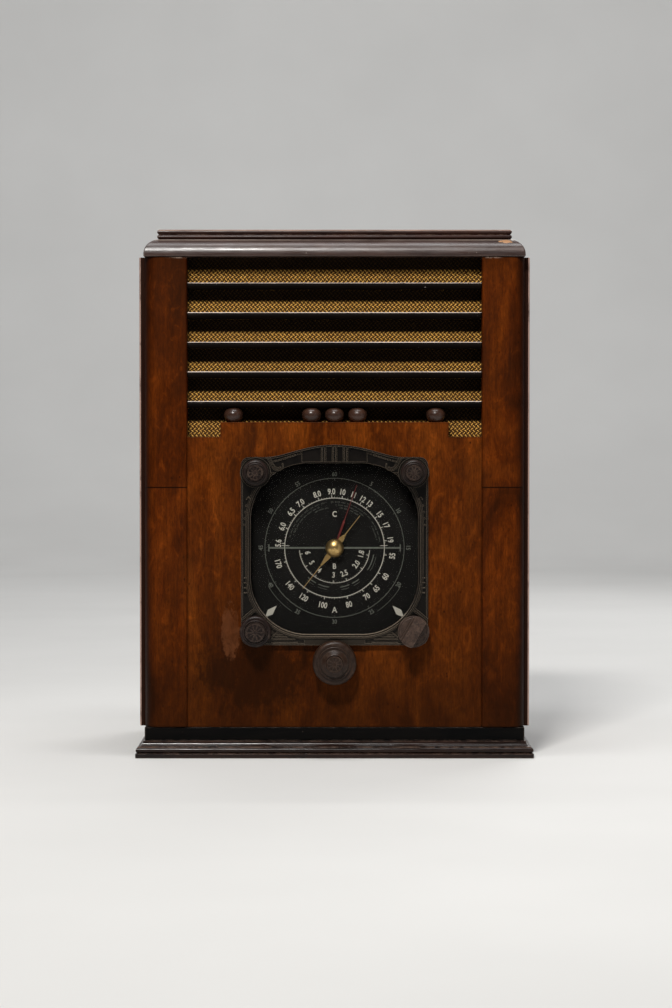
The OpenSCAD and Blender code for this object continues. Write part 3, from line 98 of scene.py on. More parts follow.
def place(tree, scale=(1, 1, 1), turn=(0, 0, 0)):
    """Object coordinates, scaled and turned."""
    coord = node(tree, "ShaderNodeTexCoord")
    return node(tree, "ShaderNodeMapping", {
        "Vector": coord.outputs["Object"], "Scale": scale,
        "Rotation": [math.radians(a) for a in turn]}).outputs[0]


def grain(tree, vector, scale, detail=4.0, rough=0.55, distort=0.0):
    return node(tree, "ShaderNodeTexNoise", {
        "Vector": vector, "Scale": scale, "Detail": detail,
        "Roughness": rough, "Distortion": distort}).outputs["Fac"]


def cells(tree, vector, scale):
    """Distance to the nearest of many scattered points."""
    return node(tree, "ShaderNodeTexVoronoi", {"Vector": vector, "Scale": scale}).outputs["Distance"]


def ramp(tree, value, stops):
    """Colour ramp; each stop is a position and a grey level or a colour."""
    made = node(tree, "ShaderNodeValToRGB", {"Fac": value})
    band = made.color_ramp
    while len(band.elements) < len(stops):
        band.elements.new(0.5)
    for element, (at, level) in zip(band.elements, stops, strict=True):
        element.position = at
        rgb = (level,) * 3 if isinstance(level, (int, float)) else level
        element.color = (*rgb, 1)
    return made.outputs["Color"]


def mix(tree, factor, first, second, blend="MIX"):
    """The first colour where the factor is 0, the second where it is 1."""
    made = node(tree, "ShaderNodeMix", data_type="RGBA", blend_type=blend, clamp_result=True)
    for socket, value in ((0, factor), (6, first), (7, second)):
        target = made.inputs[socket]
        if isinstance(value, bpy.types.NodeSocket):
            tree.links.new(value, target)
        elif isinstance(value, (int, float)) and socket:
            target.default_value = (value, value, value, 1)
        else:
            target.default_value = value if isinstance(value, (int, float)) else (*value, 1)
    return made.outputs[2]


def mix_shaders(tree, factor, first, second):
    """The first shader where the factor is 0, the second where it is 1."""
    made = node(tree, "ShaderNodeMixShader", {"Fac": factor})
    tree.links.new(first.outputs[0], made.inputs[1])
    tree.links.new(second.outputs[0], made.inputs[2])
    return made


def maths(tree, operation, first, second=0.0, clamp=False):
    made = node(tree, "ShaderNodeMath", operation=operation, use_clamp=clamp)
    for socket, value in zip(made.inputs, (first, second), strict=False):
        if isinstance(value, bpy.types.NodeSocket):
            tree.links.new(value, socket)
        else:
            socket.default_value = value
    return made.outputs[0]


def times(tree, first, second, clamp=False):
    return maths(tree, "MULTIPLY", first, second, clamp)


def shade(colour, factor):
    """A colour with each channel multiplied by a factor."""
    return [channel * factor for channel in colour]


def axis_value(tree, axis):
    """One coordinate of a point in the frame."""
    coord = node(tree, "ShaderNodeTexCoord")
    split = node(tree, "ShaderNodeSeparateXYZ", {"Vector": coord.outputs["Object"]})
    return split.outputs[axis]


def from_middle(tree):
    """Distance from the middle plane, the same on the left and on the right."""
    return maths(tree, "ABSOLUTE", axis_value(tree, "X"))


def facing_up(tree):
    """1 on a face that looks straight up, 0 on a wall."""
    return node(tree, "ShaderNodeSeparateXYZ", {
        "Vector": node(tree, "ShaderNodeNewGeometry").outputs["Normal"]}).outputs["Z"]


def span(tree, value, low, high):
    """0 below low, 1 above high, smooth between. low may be the larger."""
    made = node(tree, "ShaderNodeMapRange", {
        "Value": value, "From Min": low, "From Max": high}, interpolation_type="SMOOTHSTEP")
    return made.outputs[0]


def bump(tree, shader, height, distance):
    made = node(tree, "ShaderNodeBump", {"Height": height, "Distance": distance, "Strength": 1.0})
    tree.links.new(made.outputs[0], shader.inputs["Normal"])


def edge_mask(tree, radius):
    """1 within a radius of a sharp edge, 0 on flat and gently curved faces."""
    rounded = node(tree, "ShaderNodeBevel", {"Radius": radius}, samples=6)
    geometry = node(tree, "ShaderNodeNewGeometry")
    alike = node(tree, "ShaderNodeVectorMath", {
        0: rounded.outputs[0], 1: geometry.outputs["Normal"]}, operation="DOT_PRODUCT")
    return span(tree, alike.outputs["Value"], 0.995, 0.93)


def crevice(tree, reach):
    """1 deep in a corner or groove, 0 on open faces."""
    hollow = node(tree, "ShaderNodeAmbientOcclusion", {"Distance": reach}, samples=6)
    return span(tree, hollow.outputs["AO"], 0.90, 0.45)


def edge_wear(tree, radius, breakup, least):
    """The edge mask broken up by noise."""
    spots = ramp(tree, grain(tree, place(tree), breakup, 5.0, 0.7), [(least, 0.0), (least + 0.16, 1.0)])
    return times(tree, edge_mask(tree, radius), spots, clamp=True)


def patch(tree, oval, ragged):
    """Below 1 inside an oval on the front, with a ragged rim."""
    squares = []
    for axis, middle, half in zip("XZ", *oval, strict=True):
        away = maths(tree, "DIVIDE", maths(tree, "SUBTRACT", axis_value(tree, axis), middle), half)
        squares.append(times(tree, away, away))
    return maths(tree, "ADD", maths(tree, "ADD", *squares), ragged)


def join_colour(tree, shader, colour, roughness=None):
    tree.links.new(colour, shader.inputs["Base Color"])
    if roughness is not None:
        tree.links.new(roughness, shader.inputs["Roughness"])


# Layers of the veneer
def walnut(tree, light, mid, dark):
    """Upright figure, mottle, stripes, flecks and pores, with the masks that later layers use."""
    figure = grain(tree, place(tree, (22, 22, 7)), 1.0, 4.0, 0.55, 1.4)
    mottle = grain(tree, place(tree, (105, 105, 52)), 1.0, 6.0, 0.66, 1.2)
    stripe = grain(tree, place(tree, (420, 420, 12)), 1.0, 5.0, 0.68, 0.35)
    fleck = grain(tree, place(tree, (950, 950, 170)), 1.0, 3.0, 0.7)
    pores = cells(tree, place(tree, (1500, 1500, 220)), 1.0)
    base = ramp(tree, figure, [(0.30, dark), (0.46, mid), (0.74, light)])
    base = mix(tree, 0.48, base, ramp(tree, mottle, [(0.32, 0.20), (0.68, 0.80)]), "OVERLAY")
    base = mix(tree, 0.40, base, ramp(tree, stripe, [(0.30, 0.20), (0.70, 0.80)]), "OVERLAY")
    base = mix(tree, 0.50, base, ramp(tree, fleck, [(0.30, 0.16), (0.70, 0.84)]), "OVERLAY")
    base = mix(tree, ramp(tree, mottle, [(0.56, 0.0), (0.70, 0.38)]), base, shade(light, 1.5))
    pore_mask = times(tree, ramp(tree, pores, [(0.06, 1.0), (0.24, 0.0)]),
                      ramp(tree, stripe, [(0.42, 0.9), (0.62, 0.2)]))
    base = mix(tree, times(tree, pore_mask, 0.7), base, shade(dark, 0.22))
    return base, mottle, stripe, pore_mask


def toned(tree, base, dark, cloud, foot_darkening):
    """Cloudy dark toner and small stains, darker low down."""
    base = mix(tree, ramp(tree, cloud, [(0.50, 0.0), (0.72, 0.55)]), base, shade(dark, 0.45))
    speckle = cells(tree, place(tree, (1, 1, 0.7)), 150.0)
    speckle = times(tree, ramp(tree, speckle, [(0.05, 1.0), (0.16, 0.0)]),
                    ramp(tree, grain(tree, place(tree), 34.0, 3.0), [(0.50, 0.0), (0.60, 0.85)]))
    base = mix(tree, speckle, base, shade(dark, 0.20))
    # Darker towards the foot
    low = times(tree, span(tree, axis_value(tree, "Z"), FOOT_Z + 0.150, FOOT_Z - 0.02), foot_darkening)
    return mix(tree, low, base, shade(dark, 0.34))


def post_wear(tree, base, dark, round_x):
    """Darker along the rounded outer arris and in a band just under the top board, and a chipped top edge."""
    z, across = axis_value(tree, "Z"), from_middle(tree)
    outer = span(tree, across, round_x - 0.010, round_x - 0.001)
    upper = times(tree, span(tree, z, WALL_TOP - 0.030, WALL_TOP), 0.45)
    base = mix(tree, times(tree, outer, 0.85), base, shade(dark, 0.35))
    base = mix(tree, upper, base, shade(dark, 0.5))
    top_edge = times(tree, span(tree, z, WALL_TOP - 0.0018, WALL_TOP - 0.0010),
                     span(tree, across, round_x - 0.018, round_x - 0.030))
    chipped = ramp(tree, grain(tree, place(tree), 190.0, 5.0, 0.7), [(0.46, 0.0), (0.56, 0.9)])
    return mix(tree, times(tree, top_edge, chipped), base, (0.46, 0.34, 0.26))


def leaf_seam(tree, base, mid, dark, seam_z):
    """Two leaves of veneer meet at this height, and the lower one is lighter."""
    z = axis_value(tree, "Z")
    above = span(tree, z, seam_z - 0.0004, seam_z + 0.0004)
    base = mix(tree, times(tree, above, 0.14), base, shade(mid, 0.55))
    near = maths(tree, "ABSOLUTE", maths(tree, "SUBTRACT", z, seam_z))
    return mix(tree, span(tree, near, 0.0007, 0.0003), base, shade(dark, 0.12))


def black_edge(tree, base, edge_y):
    """A side board's front edge, lacquered black, with bright lines at both arrises that are rubbed lacquer
    and painted highlights.
    """
    across = from_middle(tree)
    bare = maths(tree, "MAXIMUM", span(tree, across, side_hi.x - 0.0017, side_hi.x - 0.0009),
                 span(tree, across, side_lo.x + 0.0017, side_lo.x + 0.0009))
    worn = grain(tree, place(tree, (1, 1, 0.4)), 120.0, 5.0, 0.7)
    # The bright arris lines are rubbed lacquer and painted highlights
    rubbed = times(tree, bare, ramp(tree, worn, [(0.30, 0.25), (0.48, 1.0)]))
    black = mix(tree, rubbed, (0.012, 0.0040, 0.0030), (0.42, 0.28, 0.23))
    strip = span(tree, axis_value(tree, "Y"), edge_y + 0.0018, edge_y + 0.0013)
    return mix(tree, strip, base, black)


def unlacquered(tree, base, stripe, cloud, mask):
    """Bare wood where the mask is 1."""
    bare = ramp(tree, stripe, [(0.30, (0.15, 0.080, 0.040)), (0.70, (0.33, 0.195, 0.105))])
    bare = mix(tree, ramp(tree, cloud, [(0.42, 0.0), (0.72, 0.55)]), bare, (0.09, 0.050, 0.028))
    return mix(tree, mask, base, bare)


def knob_wear(tree, base, roughness, mottle, dark):
    """A painted shadow, dark round and below the lower left knob, and lacquer rubbed away beside that knob.
    """
    ragged = grain(tree, place(tree, (1, 1, 0.5)), 95.0, 6.0, 0.75)
    ragged = times(tree, maths(tree, "SUBTRACT", ragged, 0.5), 4.2)
    # Painted shadow of the knobs on the panel
    stain_and_shadow = times(tree, span(tree, patch(tree, KNOB_SHADOW, ragged), 1.25, 0.30), 0.78)
    base = mix(tree, stain_and_shadow, base, shade(dark, 0.3))
    inside = span(tree, patch(tree, SCUFF, ragged), 1.05, 0.70)
    broken = ramp(tree, mottle, [(0.35, 0.25), (0.60, 0.70)])
    base = mix(tree, times(tree, inside, broken), base, (0.110, 0.036, 0.013))
    return base, mix(tree, inside, roughness, 0.75)


# Materials
def veneer(name, light, mid, dark, raw, foot_darkening=0.45, seam_z=None, knob_shadow_and_scuff=False, edge_y=None, round_x=None):
    """Old lacquered walnut veneer with toner and worn edges, and where asked a painted knob shadow. raw makes
    the mask of its bare hidden face.
    """
    mat, tree, shader = material(name)
    shader.inputs["Specular IOR Level"].default_value = 0.12
    shader.inputs["Specular Tint"].default_value = (1.0, 0.60, 0.34, 1)
    base, mottle, stripe, pore_mask = walnut(tree, light, mid, dark)
    cloud = grain(tree, place(tree, (1, 1, 0.6)), 15.0, 5.0, 0.62, 0.5)
    base = toned(tree, base, dark, cloud, foot_darkening)
    if round_x is not None:
        base = post_wear(tree, base, dark, round_x)
    if seam_z is not None:
        base = leaf_seam(tree, base, mid, dark, seam_z)
    # Edges are grimy first and then rubbed bright
    base = mix(tree, times(tree, edge_mask(tree, 0.0030), 0.55), base, shade(dark, 0.30))
    base = mix(tree, times(tree, edge_wear(tree, 0.0010, 140.0, 0.50), 0.7), base, light)
    if edge_y is not None:
        base = black_edge(tree, base, edge_y)
    base = unlacquered(tree, base, stripe, cloud, raw(tree))
    roughness = ramp(tree, cloud, [(0.35, 0.36), (0.70, 0.55)])
    # A painted knob shadow and a real scuff beside the lower left knob
    if knob_shadow_and_scuff:
        base, roughness = knob_wear(tree, base, roughness, mottle, dark)
    join_colour(tree, shader, base, roughness)
    bump(tree, shader, maths(tree, "ADD", times(tree, pore_mask, -0.7), times(tree, stripe, 0.35)), 0.00012)
    return mat


def back_face(back_y):
    """Mask maker for the hidden rear face of a board on the front."""
    return lambda tree: span(tree, axis_value(tree, "Y"), back_y - 0.0006, back_y - 0.0002)


def inner_face(inner_x):
    """Mask maker for the hidden inner faces of the side boards."""
    return lambda tree: span(tree, from_middle(tree), inner_x + 0.0006, inner_x + 0.0002)


def slat_fading(tree, nose_y):
    """A painted highlight: a streaky mask on the upper side of slats, strong only at their noses, where the
    top edge catches the light.
    """
    streak = grain(tree, place(tree, (14, 90, 90)), 1.0, 5.0, 0.7)
    upper = times(tree, span(tree, facing_up(tree), 0.72, 0.90),
                  ramp(tree, streak, [(0.30, 0.45), (0.60, 1.0)]))
    nose = span(tree, axis_value(tree, "Y"), nose_y + 0.0042, nose_y + 0.0022)
    return times(tree, upper, maths(tree, "MAXIMUM", nose, 0.06))


def dusted_line(tree, top_z):
    """A thin broken painted highlight along an upper arris, where the light catches the edge."""
    line = times(tree, span(tree, axis_value(tree, "Z"), top_z - 0.0013, top_z - 0.0008),
                 span(tree, facing_up(tree), 0.995, 0.97))
    streak = grain(tree, place(tree, (30, 90, 90)), 1.0, 5.0, 0.7)
    return times(tree, line, ramp(tree, streak, [(0.34, 0.35), (0.56, 0.9)]))


def dark_gloss(name, body, warm, wear_and_highlight=(0.30, 0.22, 0.18), gloss=0.20, rubbed=0.8, shine=0.22,
               nose_y=None, line_z=None, chip=None):
    """Near-black moulding lacquer with small chips and worn arrises, and where asked painted highlights on
    slat noses and an upper arris.
    """
    mat, tree, shader = material(name)
    shader.inputs["Specular IOR Level"].default_value = shine
    cloud = grain(tree, place(tree, (3, 20, 20)), 6.0, 5.0, 0.6, 0.5)
    base = ramp(tree, cloud, [(0.35, body), (0.70, warm)])
    chips = times(tree, ramp(tree, cells(tree, place(tree), 240.0), [(0.04, 1.0), (0.14, 0.0)]),
                  ramp(tree, grain(tree, place(tree), 70.0), [(0.60, 0.0), (0.70, 0.6)]))
    base = mix(tree, chips, base, wear_and_highlight)
    base = mix(tree, times(tree, edge_wear(tree, 0.0011, 120.0, 0.40), rubbed), base, wear_and_highlight)
    if nose_y is not None:
        # Painted highlight along the slats' upper noses
        base = mix(tree, times(tree, slat_fading(tree, nose_y), 0.95), base, wear_and_highlight)
    if line_z is not None:
        # Painted highlight along the top arris
        base = mix(tree, dusted_line(tree, line_z), base, wear_and_highlight)
    if chip is not None:
        # Lacquer chipped off near a corner
        ragged = maths(tree, "SUBTRACT", grain(tree, place(tree), 230.0, 4.0, 0.75), 0.5)
        lost = patch(tree, chip, times(tree, ragged, 9.0))
        base = mix(tree, span(tree, lost, 1.05, 0.85), base, (0.36, 0.19, 0.095))
    scratch = grain(tree, place(tree, (40, 900, 900), (0, 0, 12)), 1.0, 3.0, 0.7)
    join_colour(tree, shader, base, ramp(tree, scratch, [(0.30, gloss), (0.75, gloss + 0.22)]))
    bump(tree, shader, maths(tree, "SUBTRACT", cloud, times(tree, chips, 0.6)), 0.0002)
    return mat


def bare_wood(name, light, dark):
    """Dirty unfinished wood or board with its grain along the depth."""
    mat, tree, shader = material(name)
    rings = grain(tree, place(tree, (60, 6, 60)), 1.2, 5.0, 0.6, 1.2)
    dirt = grain(tree, place(tree), 14.0, 5.0, 0.65)
    base = ramp(tree, rings, [(0.30, dark), (0.70, light)])
    base = mix(tree, ramp(tree, dirt, [(0.45, 0.0), (0.75, 0.6)]), base, shade(dark, 0.35))
    join_colour(tree, shader, base, ramp(tree, dirt, [(0.3, 0.62), (0.7, 0.85)]))
    bump(tree, shader, rings, 0.0003)
    return mat


def bakelite(name, body, warm, mottled=False):
    """Moulded phenolic plastic with marbling, dust, rubbed edges and dark corners."""
    mat, tree, shader = material(name)
    shader.inputs["Specular IOR Level"].default_value = 0.22
    swirl = grain(tree, place(tree), 60.0, 6.0, 0.65, 1.6)
    base = ramp(tree, swirl, [(0.34, body), (0.66, warm)])
    if mottled:
        fleck = grain(tree, place(tree), 620.0, 4.0, 0.75, 0.6)
        base = mix(tree, ramp(tree, fleck, [(0.42, 0.0), (0.60, 0.75)]), base, shade(body, 0.25))
    dust = grain(tree, place(tree), 210.0, 5.0, 0.7)
    base = mix(tree, ramp(tree, dust, [(0.55, 0.0), (0.80, 0.14)]), base, (0.36, 0.27, 0.20))
    base = mix(tree, times(tree, edge_wear(tree, 0.0007, 260.0, 0.40), 0.55), base, (0.17, 0.115, 0.085))
    base = mix(tree, times(tree, crevice(tree, 0.0022), 0.75), base, shade(body, 0.25))
    join_colour(tree, shader, base, ramp(tree, dust, [(0.30, 0.28), (0.75, 0.50)]))
    bump(tree, shader, maths(tree, "ADD", swirl, dust), 0.00008)
    return mat


def bronzed(name):
    """Moulded escutcheon, oiled-bronze brown, paler where it is rubbed and under painted highlights on its
    edges and lower lip, and black in its hollows.
    """
    mat, tree, shader = material(name)
    shader.inputs["Metallic"].default_value = 0.05
    shader.inputs["Specular IOR Level"].default_value = 0.16
    patina = grain(tree, place(tree), 42.0, 6.0, 0.62, 0.6)
    fine = grain(tree, place(tree), 620.0, 4.0, 0.7)
    base = ramp(tree, patina, [(0.32, (0.0024, 0.0019, 0.0015)), (0.68, (0.0070, 0.0050, 0.0036))])
    # The foot is a little paler than the sides
    z = axis_value(tree, "Z")
    foot = times(tree, span(tree, z, DIAL_Z - 0.045, DIAL_Z - 0.075),
                 span(tree, from_middle(tree), 0.078, 0.066))
    base = mix(tree, times(tree, foot, 0.22), base, (0.090, 0.068, 0.047))
    # Edges paler: rubbed bronze and painted highlights
    rub_and_highlight = times(tree, edge_mask(tree, 0.0006), ramp(tree, fine, [(0.30, 0.60), (0.62, 1.0)]))
    base = mix(tree, times(tree, rub_and_highlight, 0.52), base, (0.270, 0.210, 0.150))
    # The lower lip of the opening faces up and gets a painted highlight
    lip_y = min(v.co.y for v in nodes["escutcheon"].data.vertices
                if abs(v.co.x) < 0.03 and v.co.z < DIAL_Z - 0.05)
    lip = times(tree, span(tree, facing_up(tree), 0.18, 0.60), span(tree, z, DIAL_Z - 0.005, DIAL_Z - 0.030))
    lip = times(tree, lip, span(tree, axis_value(tree, "Y"), lip_y + 0.0065, lip_y + 0.0040))
    base = mix(tree, times(tree, lip, 0.90), base, (0.52, 0.41, 0.30))
    base = mix(tree, times(tree, crevice(tree, 0.0030), 0.85), base, (0.006, 0.005, 0.004))
    join_colour(tree, shader, base, ramp(tree, patina, [(0.30, 0.26), (0.72, 0.42)]))
    bump(tree, shader, maths(tree, "ADD", patina, fine), 0.00006)
    return mat


def metal(name, colour, tarnish, rough, scale=70.0):
    """Plain metal with stains of tarnish."""
    mat, tree, shader = material(name)
    shader.inputs["Metallic"].default_value = 1.0
    stain_and_shadow = grain(tree, place(tree), scale, 6.0, 0.62, 0.8)
    fine = grain(tree, place(tree), scale * 9, 3.0, 0.7)
    base = ramp(tree, stain_and_shadow, [(0.36, colour), (0.74, tarnish)])
    join_colour(tree, shader, base, ramp(tree, stain_and_shadow, [(0.30, rough), (0.75, rough + 0.25)]))
    bump(tree, shader, fine, 0.00004)
    return mat


def painted(name, colour, rough, scale, dusty, relief=0.00006, shine=0.4):
    """One colour with dirt on it, for paint, print, rubber, paper and ceramic."""
    mat, tree, shader = material(name)
    shader.inputs["Specular IOR Level"].default_value = shine
    dirt = grain(tree, place(tree), scale, 5.0, 0.65)
    dusted = [min(1.0, channel * 2.5 + 0.05) for channel in colour]
    base = mix(tree, ramp(tree, dirt, [(0.50, 0.0), (0.80, dusty)]), colour, dusted)
    join_colour(tree, shader, base, ramp(tree, dirt, [(0.30, rough), (0.70, rough + 0.2)]))
    if relief:
        bump(tree, shader, dirt, relief)
    return mat


def clear_glass(name, tint, film, smear, mirror=0.0, foot_z=None):
    """Thin clear glass: see-through, with a dusty film in patches and, if wanted, a weak mirror image."""
    mat, tree, shader = material(name)
    cloud = grain(tree, place(tree), 26.0, 6.0, 0.7, 0.6)
    join_colour(tree, shader, ramp(tree, cloud, [(0.3, tint), (0.8, shade(tint, 0.8))]))
    shader.inputs["Roughness"].default_value = 0.3
    shader.inputs["Specular IOR Level"].default_value = 0.3 if mirror else 0.0
    clear = node(tree, "ShaderNodeBsdfTransparent", {"Color": (1, 1, 1, 1)})
    look = mix_shaders(tree, ramp(tree, cloud, [(0.35, film), (0.80, film + smear)]), clear, shader)
    if mirror:
        gloss = node(tree, "ShaderNodeBsdfGlossy", {"Color": (1, 1, 1, 1), "Roughness": 0.04})
        look = mix_shaders(tree, mirror, look, gloss)
    if foot_z is not None:
        # Below this height the piece is a moulded base
        foot = node(tree, "ShaderNodeBsdfPrincipled", {
            "Base Color": (0.014, 0.009, 0.007, 1), "Roughness": 0.35})
        look = mix_shaders(tree, span(tree, axis_value(tree, "Z"), foot_z - 0.0002, foot_z), foot, look)
    tree.links.new(look.outputs[0], tree.nodes["Material Output"].inputs[0])
    return mat


def new_object(name, mesh, mat, body="cabinet", smooth=True):
    """A piece in the frame that rides on a body and takes a finish."""
    made = bpy.data.objects.new(name, mesh)
    bpy.context.scene.collection.objects.link(made)
    made.data.materials.append(mat)
    if smooth:
        for polygon in mesh.polygons:
            polygon.use_smooth = True
    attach(made, body)
    return made


def mesh_of(name, build):
    """A mesh whose faces come from build, a function of a bmesh."""
    mesh = bpy.data.meshes.new(name)
    bm = bmesh.new()
    build(bm)
    bmesh.ops.remove_doubles(bm, verts=bm.verts, dist=1e-6)
    bmesh.ops.recalc_face_normals(bm, faces=bm.faces)
    bm.to_mesh(mesh)
    bm.free()
    return mesh


# Stage, camera and lights
def make_stage():
    mat, tree, shader = material("studio_sweep")
    cloud = grain(tree, place(tree), 2.4, 3.0)
    join_colour(tree, shader, ramp(tree, cloud, [(0.2, (0.66, 0.655, 0.64)), (0.8, (0.72, 0.715, 0.70))]))
    shader.inputs["Roughness"].default_value = 0.75
    # The wall stands further off than any camera round the object
    bend, start, width, front, top = 1.6, 3.3, 18.0, -9.0, 7.0
    steps = 24
    profile = [(front, 0.0), (start, 0.0)]
    for i in range(1, steps + 1):
        turn = math.radians(90 * i / steps)
        profile.append((start + bend * math.sin(turn), bend * (1 - math.cos(turn))))
    profile.append((start + bend, top))

    def build(bm):
        rows = [[bm.verts.new((side * width / 2, y, z)) for y, z in profile] for side in (-1, 1)]
        for i in range(len(profile) - 1):
            bm.faces.new((rows[0][i], rows[1][i], rows[1][i + 1], rows[0][i + 1]))

    sweep = bpy.data.objects.new("studio_sweep", mesh_of("studio_sweep", build))
    for polygon in sweep.data.polygons:
        polygon.use_smooth = True
    sweep.data.materials.append(mat)
    bpy.context.scene.collection.objects.link(sweep)


def make_light(name, size, at, aim, power, colour=(1, 1, 1), spread=180):
    lamp = bpy.data.lights.new(name, "AREA")
    lamp.spread = math.radians(spread)
    lamp.shape = "RECTANGLE"
    lamp.size, lamp.size_y = size
    lamp.energy = power
    lamp.color = colour
    made = bpy.data.objects.new(name, lamp)
    made.location = at
    made.rotation_euler = (Vector(aim) - Vector(at)).to_track_quat("-Z", "Y").to_euler()
    bpy.context.scene.collection.objects.link(made)


def make_world():
    world = bpy.data.worlds.new("soft_studio")
    bpy.context.scene.world = world
    world.use_nodes = True
    tree = world.node_tree
    soft = tree.nodes["Background"]
    soft.inputs["Color"].default_value = (0.93, 0.95, 1.0, 1)
    soft.inputs["Strength"].default_value = 0.11


def make_camera():
    lens = bpy.data.cameras.new("camera")
    lens.lens = CAMERA_LENS
    lens.sensor_width = 36
    made = bpy.data.objects.new("camera", lens)
    made.location = CAMERA_AT
    made.rotation_euler = (math.radians(90 - CAMERA_PITCH), 0, 0)
    bpy.context.scene.collection.objects.link(made)
    bpy.context.scene.camera = made


make_stage()
make_world()
make_camera()
make_light("key", (0.50, 0.32), (-0.35, -1.95, 2.02), (0, 0, 0.28), 26, (1.0, 0.98, 0.95), 120)
make_light("fill", (1.0, 1.6), (1.9, -1.6, 0.9), (0, 0, 0.24), 3, (0.96, 0.98, 1.0))
make_light("top", (0.9, 0.35), (0.0, -0.30, 1.60), (0, -0.04, 0.4), 9)
make_light("backdrop", (3.0, 0.8), (0.0, 2.3, 4.2), (0, 4.8, 1.6), 90)
make_light("rear", (1.2, 0.8), (0.9, 1.9, 1.5), (0, 0.15, 0.25), 14)
bpy.context.scene.view_settings.view_transform = "Standard"

# Finishes. A veneer has its light, middle and dark colour, a lacquer its body, warm patches, and the colour
# of its worn edges and painted highlights.
walnut_post = veneer("walnut_pilaster", (0.120, 0.0240, 0.0018), (0.058, 0.0100, 0.0008),
                     (0.022, 0.0042, 0.0006), back_face(pilaster_hi.y), 0.80,
                     seam_z=SEAM_Z, round_x=pilaster_hi.x)
walnut_panel = veneer("walnut_panel", (0.150, 0.0340, 0.0030), (0.082, 0.0160, 0.0013),
                      (0.036, 0.0070, 0.0009), back_face(panel_hi.y), 0.78, knob_shadow_and_scuff=True)
walnut_side = veneer("walnut_side", (0.170, 0.0360, 0.0030), (0.084, 0.0155, 0.0013),
                     (0.030, 0.0058, 0.0008), inner_face(side_lo.x), edge_y=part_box("left_side_board")[0].y)
lacquer = dark_gloss("dark_lacquer", (0.0060, 0.0034, 0.0026), (0.020, 0.0085, 0.0058),
                     (0.30, 0.19, 0.14), gloss=0.10, rubbed=0.45)
bead_brown = dark_gloss("bead_lacquer", (0.022, 0.0095, 0.0060), (0.050, 0.022, 0.013), shine=0.35)
# The slats' pale colour is their painted nose highlight
louvre = dark_gloss("louvre_lacquer", (0.0022, 0.0014, 0.0012), (0.0050, 0.0030, 0.0023),
                    (0.80, 0.68, 0.60), gloss=0.40, rubbed=0.0, shine=0.02,
                    nose_y=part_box("louvre_slats")[0].y)
# The top board and top plate each get a painted highlight along their top arris
plum = dark_gloss("plum_lacquer", (0.024, 0.0125, 0.0100), (0.058, 0.031, 0.024),
                  (0.46, 0.38, 0.32), gloss=0.22, rubbed=0.6, shine=0.45,
                  line_z=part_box("top_board")[1].z, chip=TOP_CHIP)
mahogany = dark_gloss("mahogany_lacquer", (0.014, 0.0046, 0.0030), (0.034, 0.0098, 0.0052),
                      (0.25, 0.155, 0.11), line_z=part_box("top_plate")[1].z)
plinth_black = dark_gloss("plinth_black", (0.0020, 0.0020, 0.0020), (0.004, 0.0034, 0.0030),
                          gloss=0.5, shine=0.04)
pine = bare_wood("plain_pine", (0.46, 0.26, 0.12), (0.24, 0.12, 0.05))
board_brown = bare_wood("pressed_board", (0.20, 0.11, 0.055), (0.10, 0.052, 0.027))
bronze = bronzed("escutcheon_bronze")
glass = clear_glass("dial_glass", (0.035, 0.032, 0.028), 0.03, 0.09)
dial_black = painted("dial_black", (0.0036, 0.0036, 0.0032), 0.70, 45.0, 0.03, relief=0.0, shine=0.08)
dial_cream = painted("dial_cream", (0.50, 0.475, 0.40), 0.6, 300.0, 0.2, relief=0.0, shine=0.1)
dial_green = painted("dial_green", (0.115, 0.120, 0.100), 0.6, 300.0, 0.2, relief=0.0, shine=0.1)
steel = metal("plated_steel", (0.36, 0.36, 0.35), (0.22, 0.20, 0.17), 0.36)
brass = metal("old_brass", (0.62, 0.42, 0.16), (0.36, 0.22, 0.08), 0.22, 160.0)
red_paint = painted("red_paint", (0.110, 0.011, 0.009), 0.5, 300.0, 0.1, shine=0.2)
bulb_glass = clear_glass("bulb_glass", (0.80, 0.78, 0.70), 0.10, 0.10, mirror=0.06)
alu = metal("aluminium", (0.60, 0.60, 0.60), (0.42, 0.41, 0.39), 0.38)
ceramic = painted("ceramic", (0.58, 0.55, 0.47), 0.35, 200.0, 0.15)
knob_brown = bakelite("knob_bakelite", (0.0075, 0.0040, 0.0032), (0.0200, 0.0105, 0.0080))
knob_worn = bakelite("knob_worn_bakelite", (0.0125, 0.0060, 0.0034), (0.032, 0.0150, 0.0082))
band_brown = bakelite("band_bakelite", (0.050, 0.030, 0.022), (0.080, 0.049, 0.036), mottled=True)
belt_cord = painted("belt_cord", (0.06, 0.045, 0.03), 0.9, 900.0, 0.3)
paxolin = painted("paxolin", (0.13, 0.065, 0.030), 0.4, 140.0, 0.1)
rubber = painted("old_rubber", (0.020, 0.019, 0.018), 0.75, 260.0, 0.2)
black_iron = painted("black_iron", (0.016, 0.016, 0.017), 0.42, 120.0, 0.2)
valve_clear = clear_glass("valve_glass", (0.45, 0.46, 0.44), 0.04, 0.08, mirror=0.05, foot_z=VALVE_FOOT)
plate_grey = metal("valve_plate", (0.10, 0.10, 0.10), (0.05, 0.05, 0.05), 0.5, 90.0)
valve_black = painted("valve_metal", (0.018, 0.018, 0.020), 0.35, 160.0, 0.15)
paper = painted("cone_paper", (0.055, 0.050, 0.044), 0.9, 500.0, 0.2)

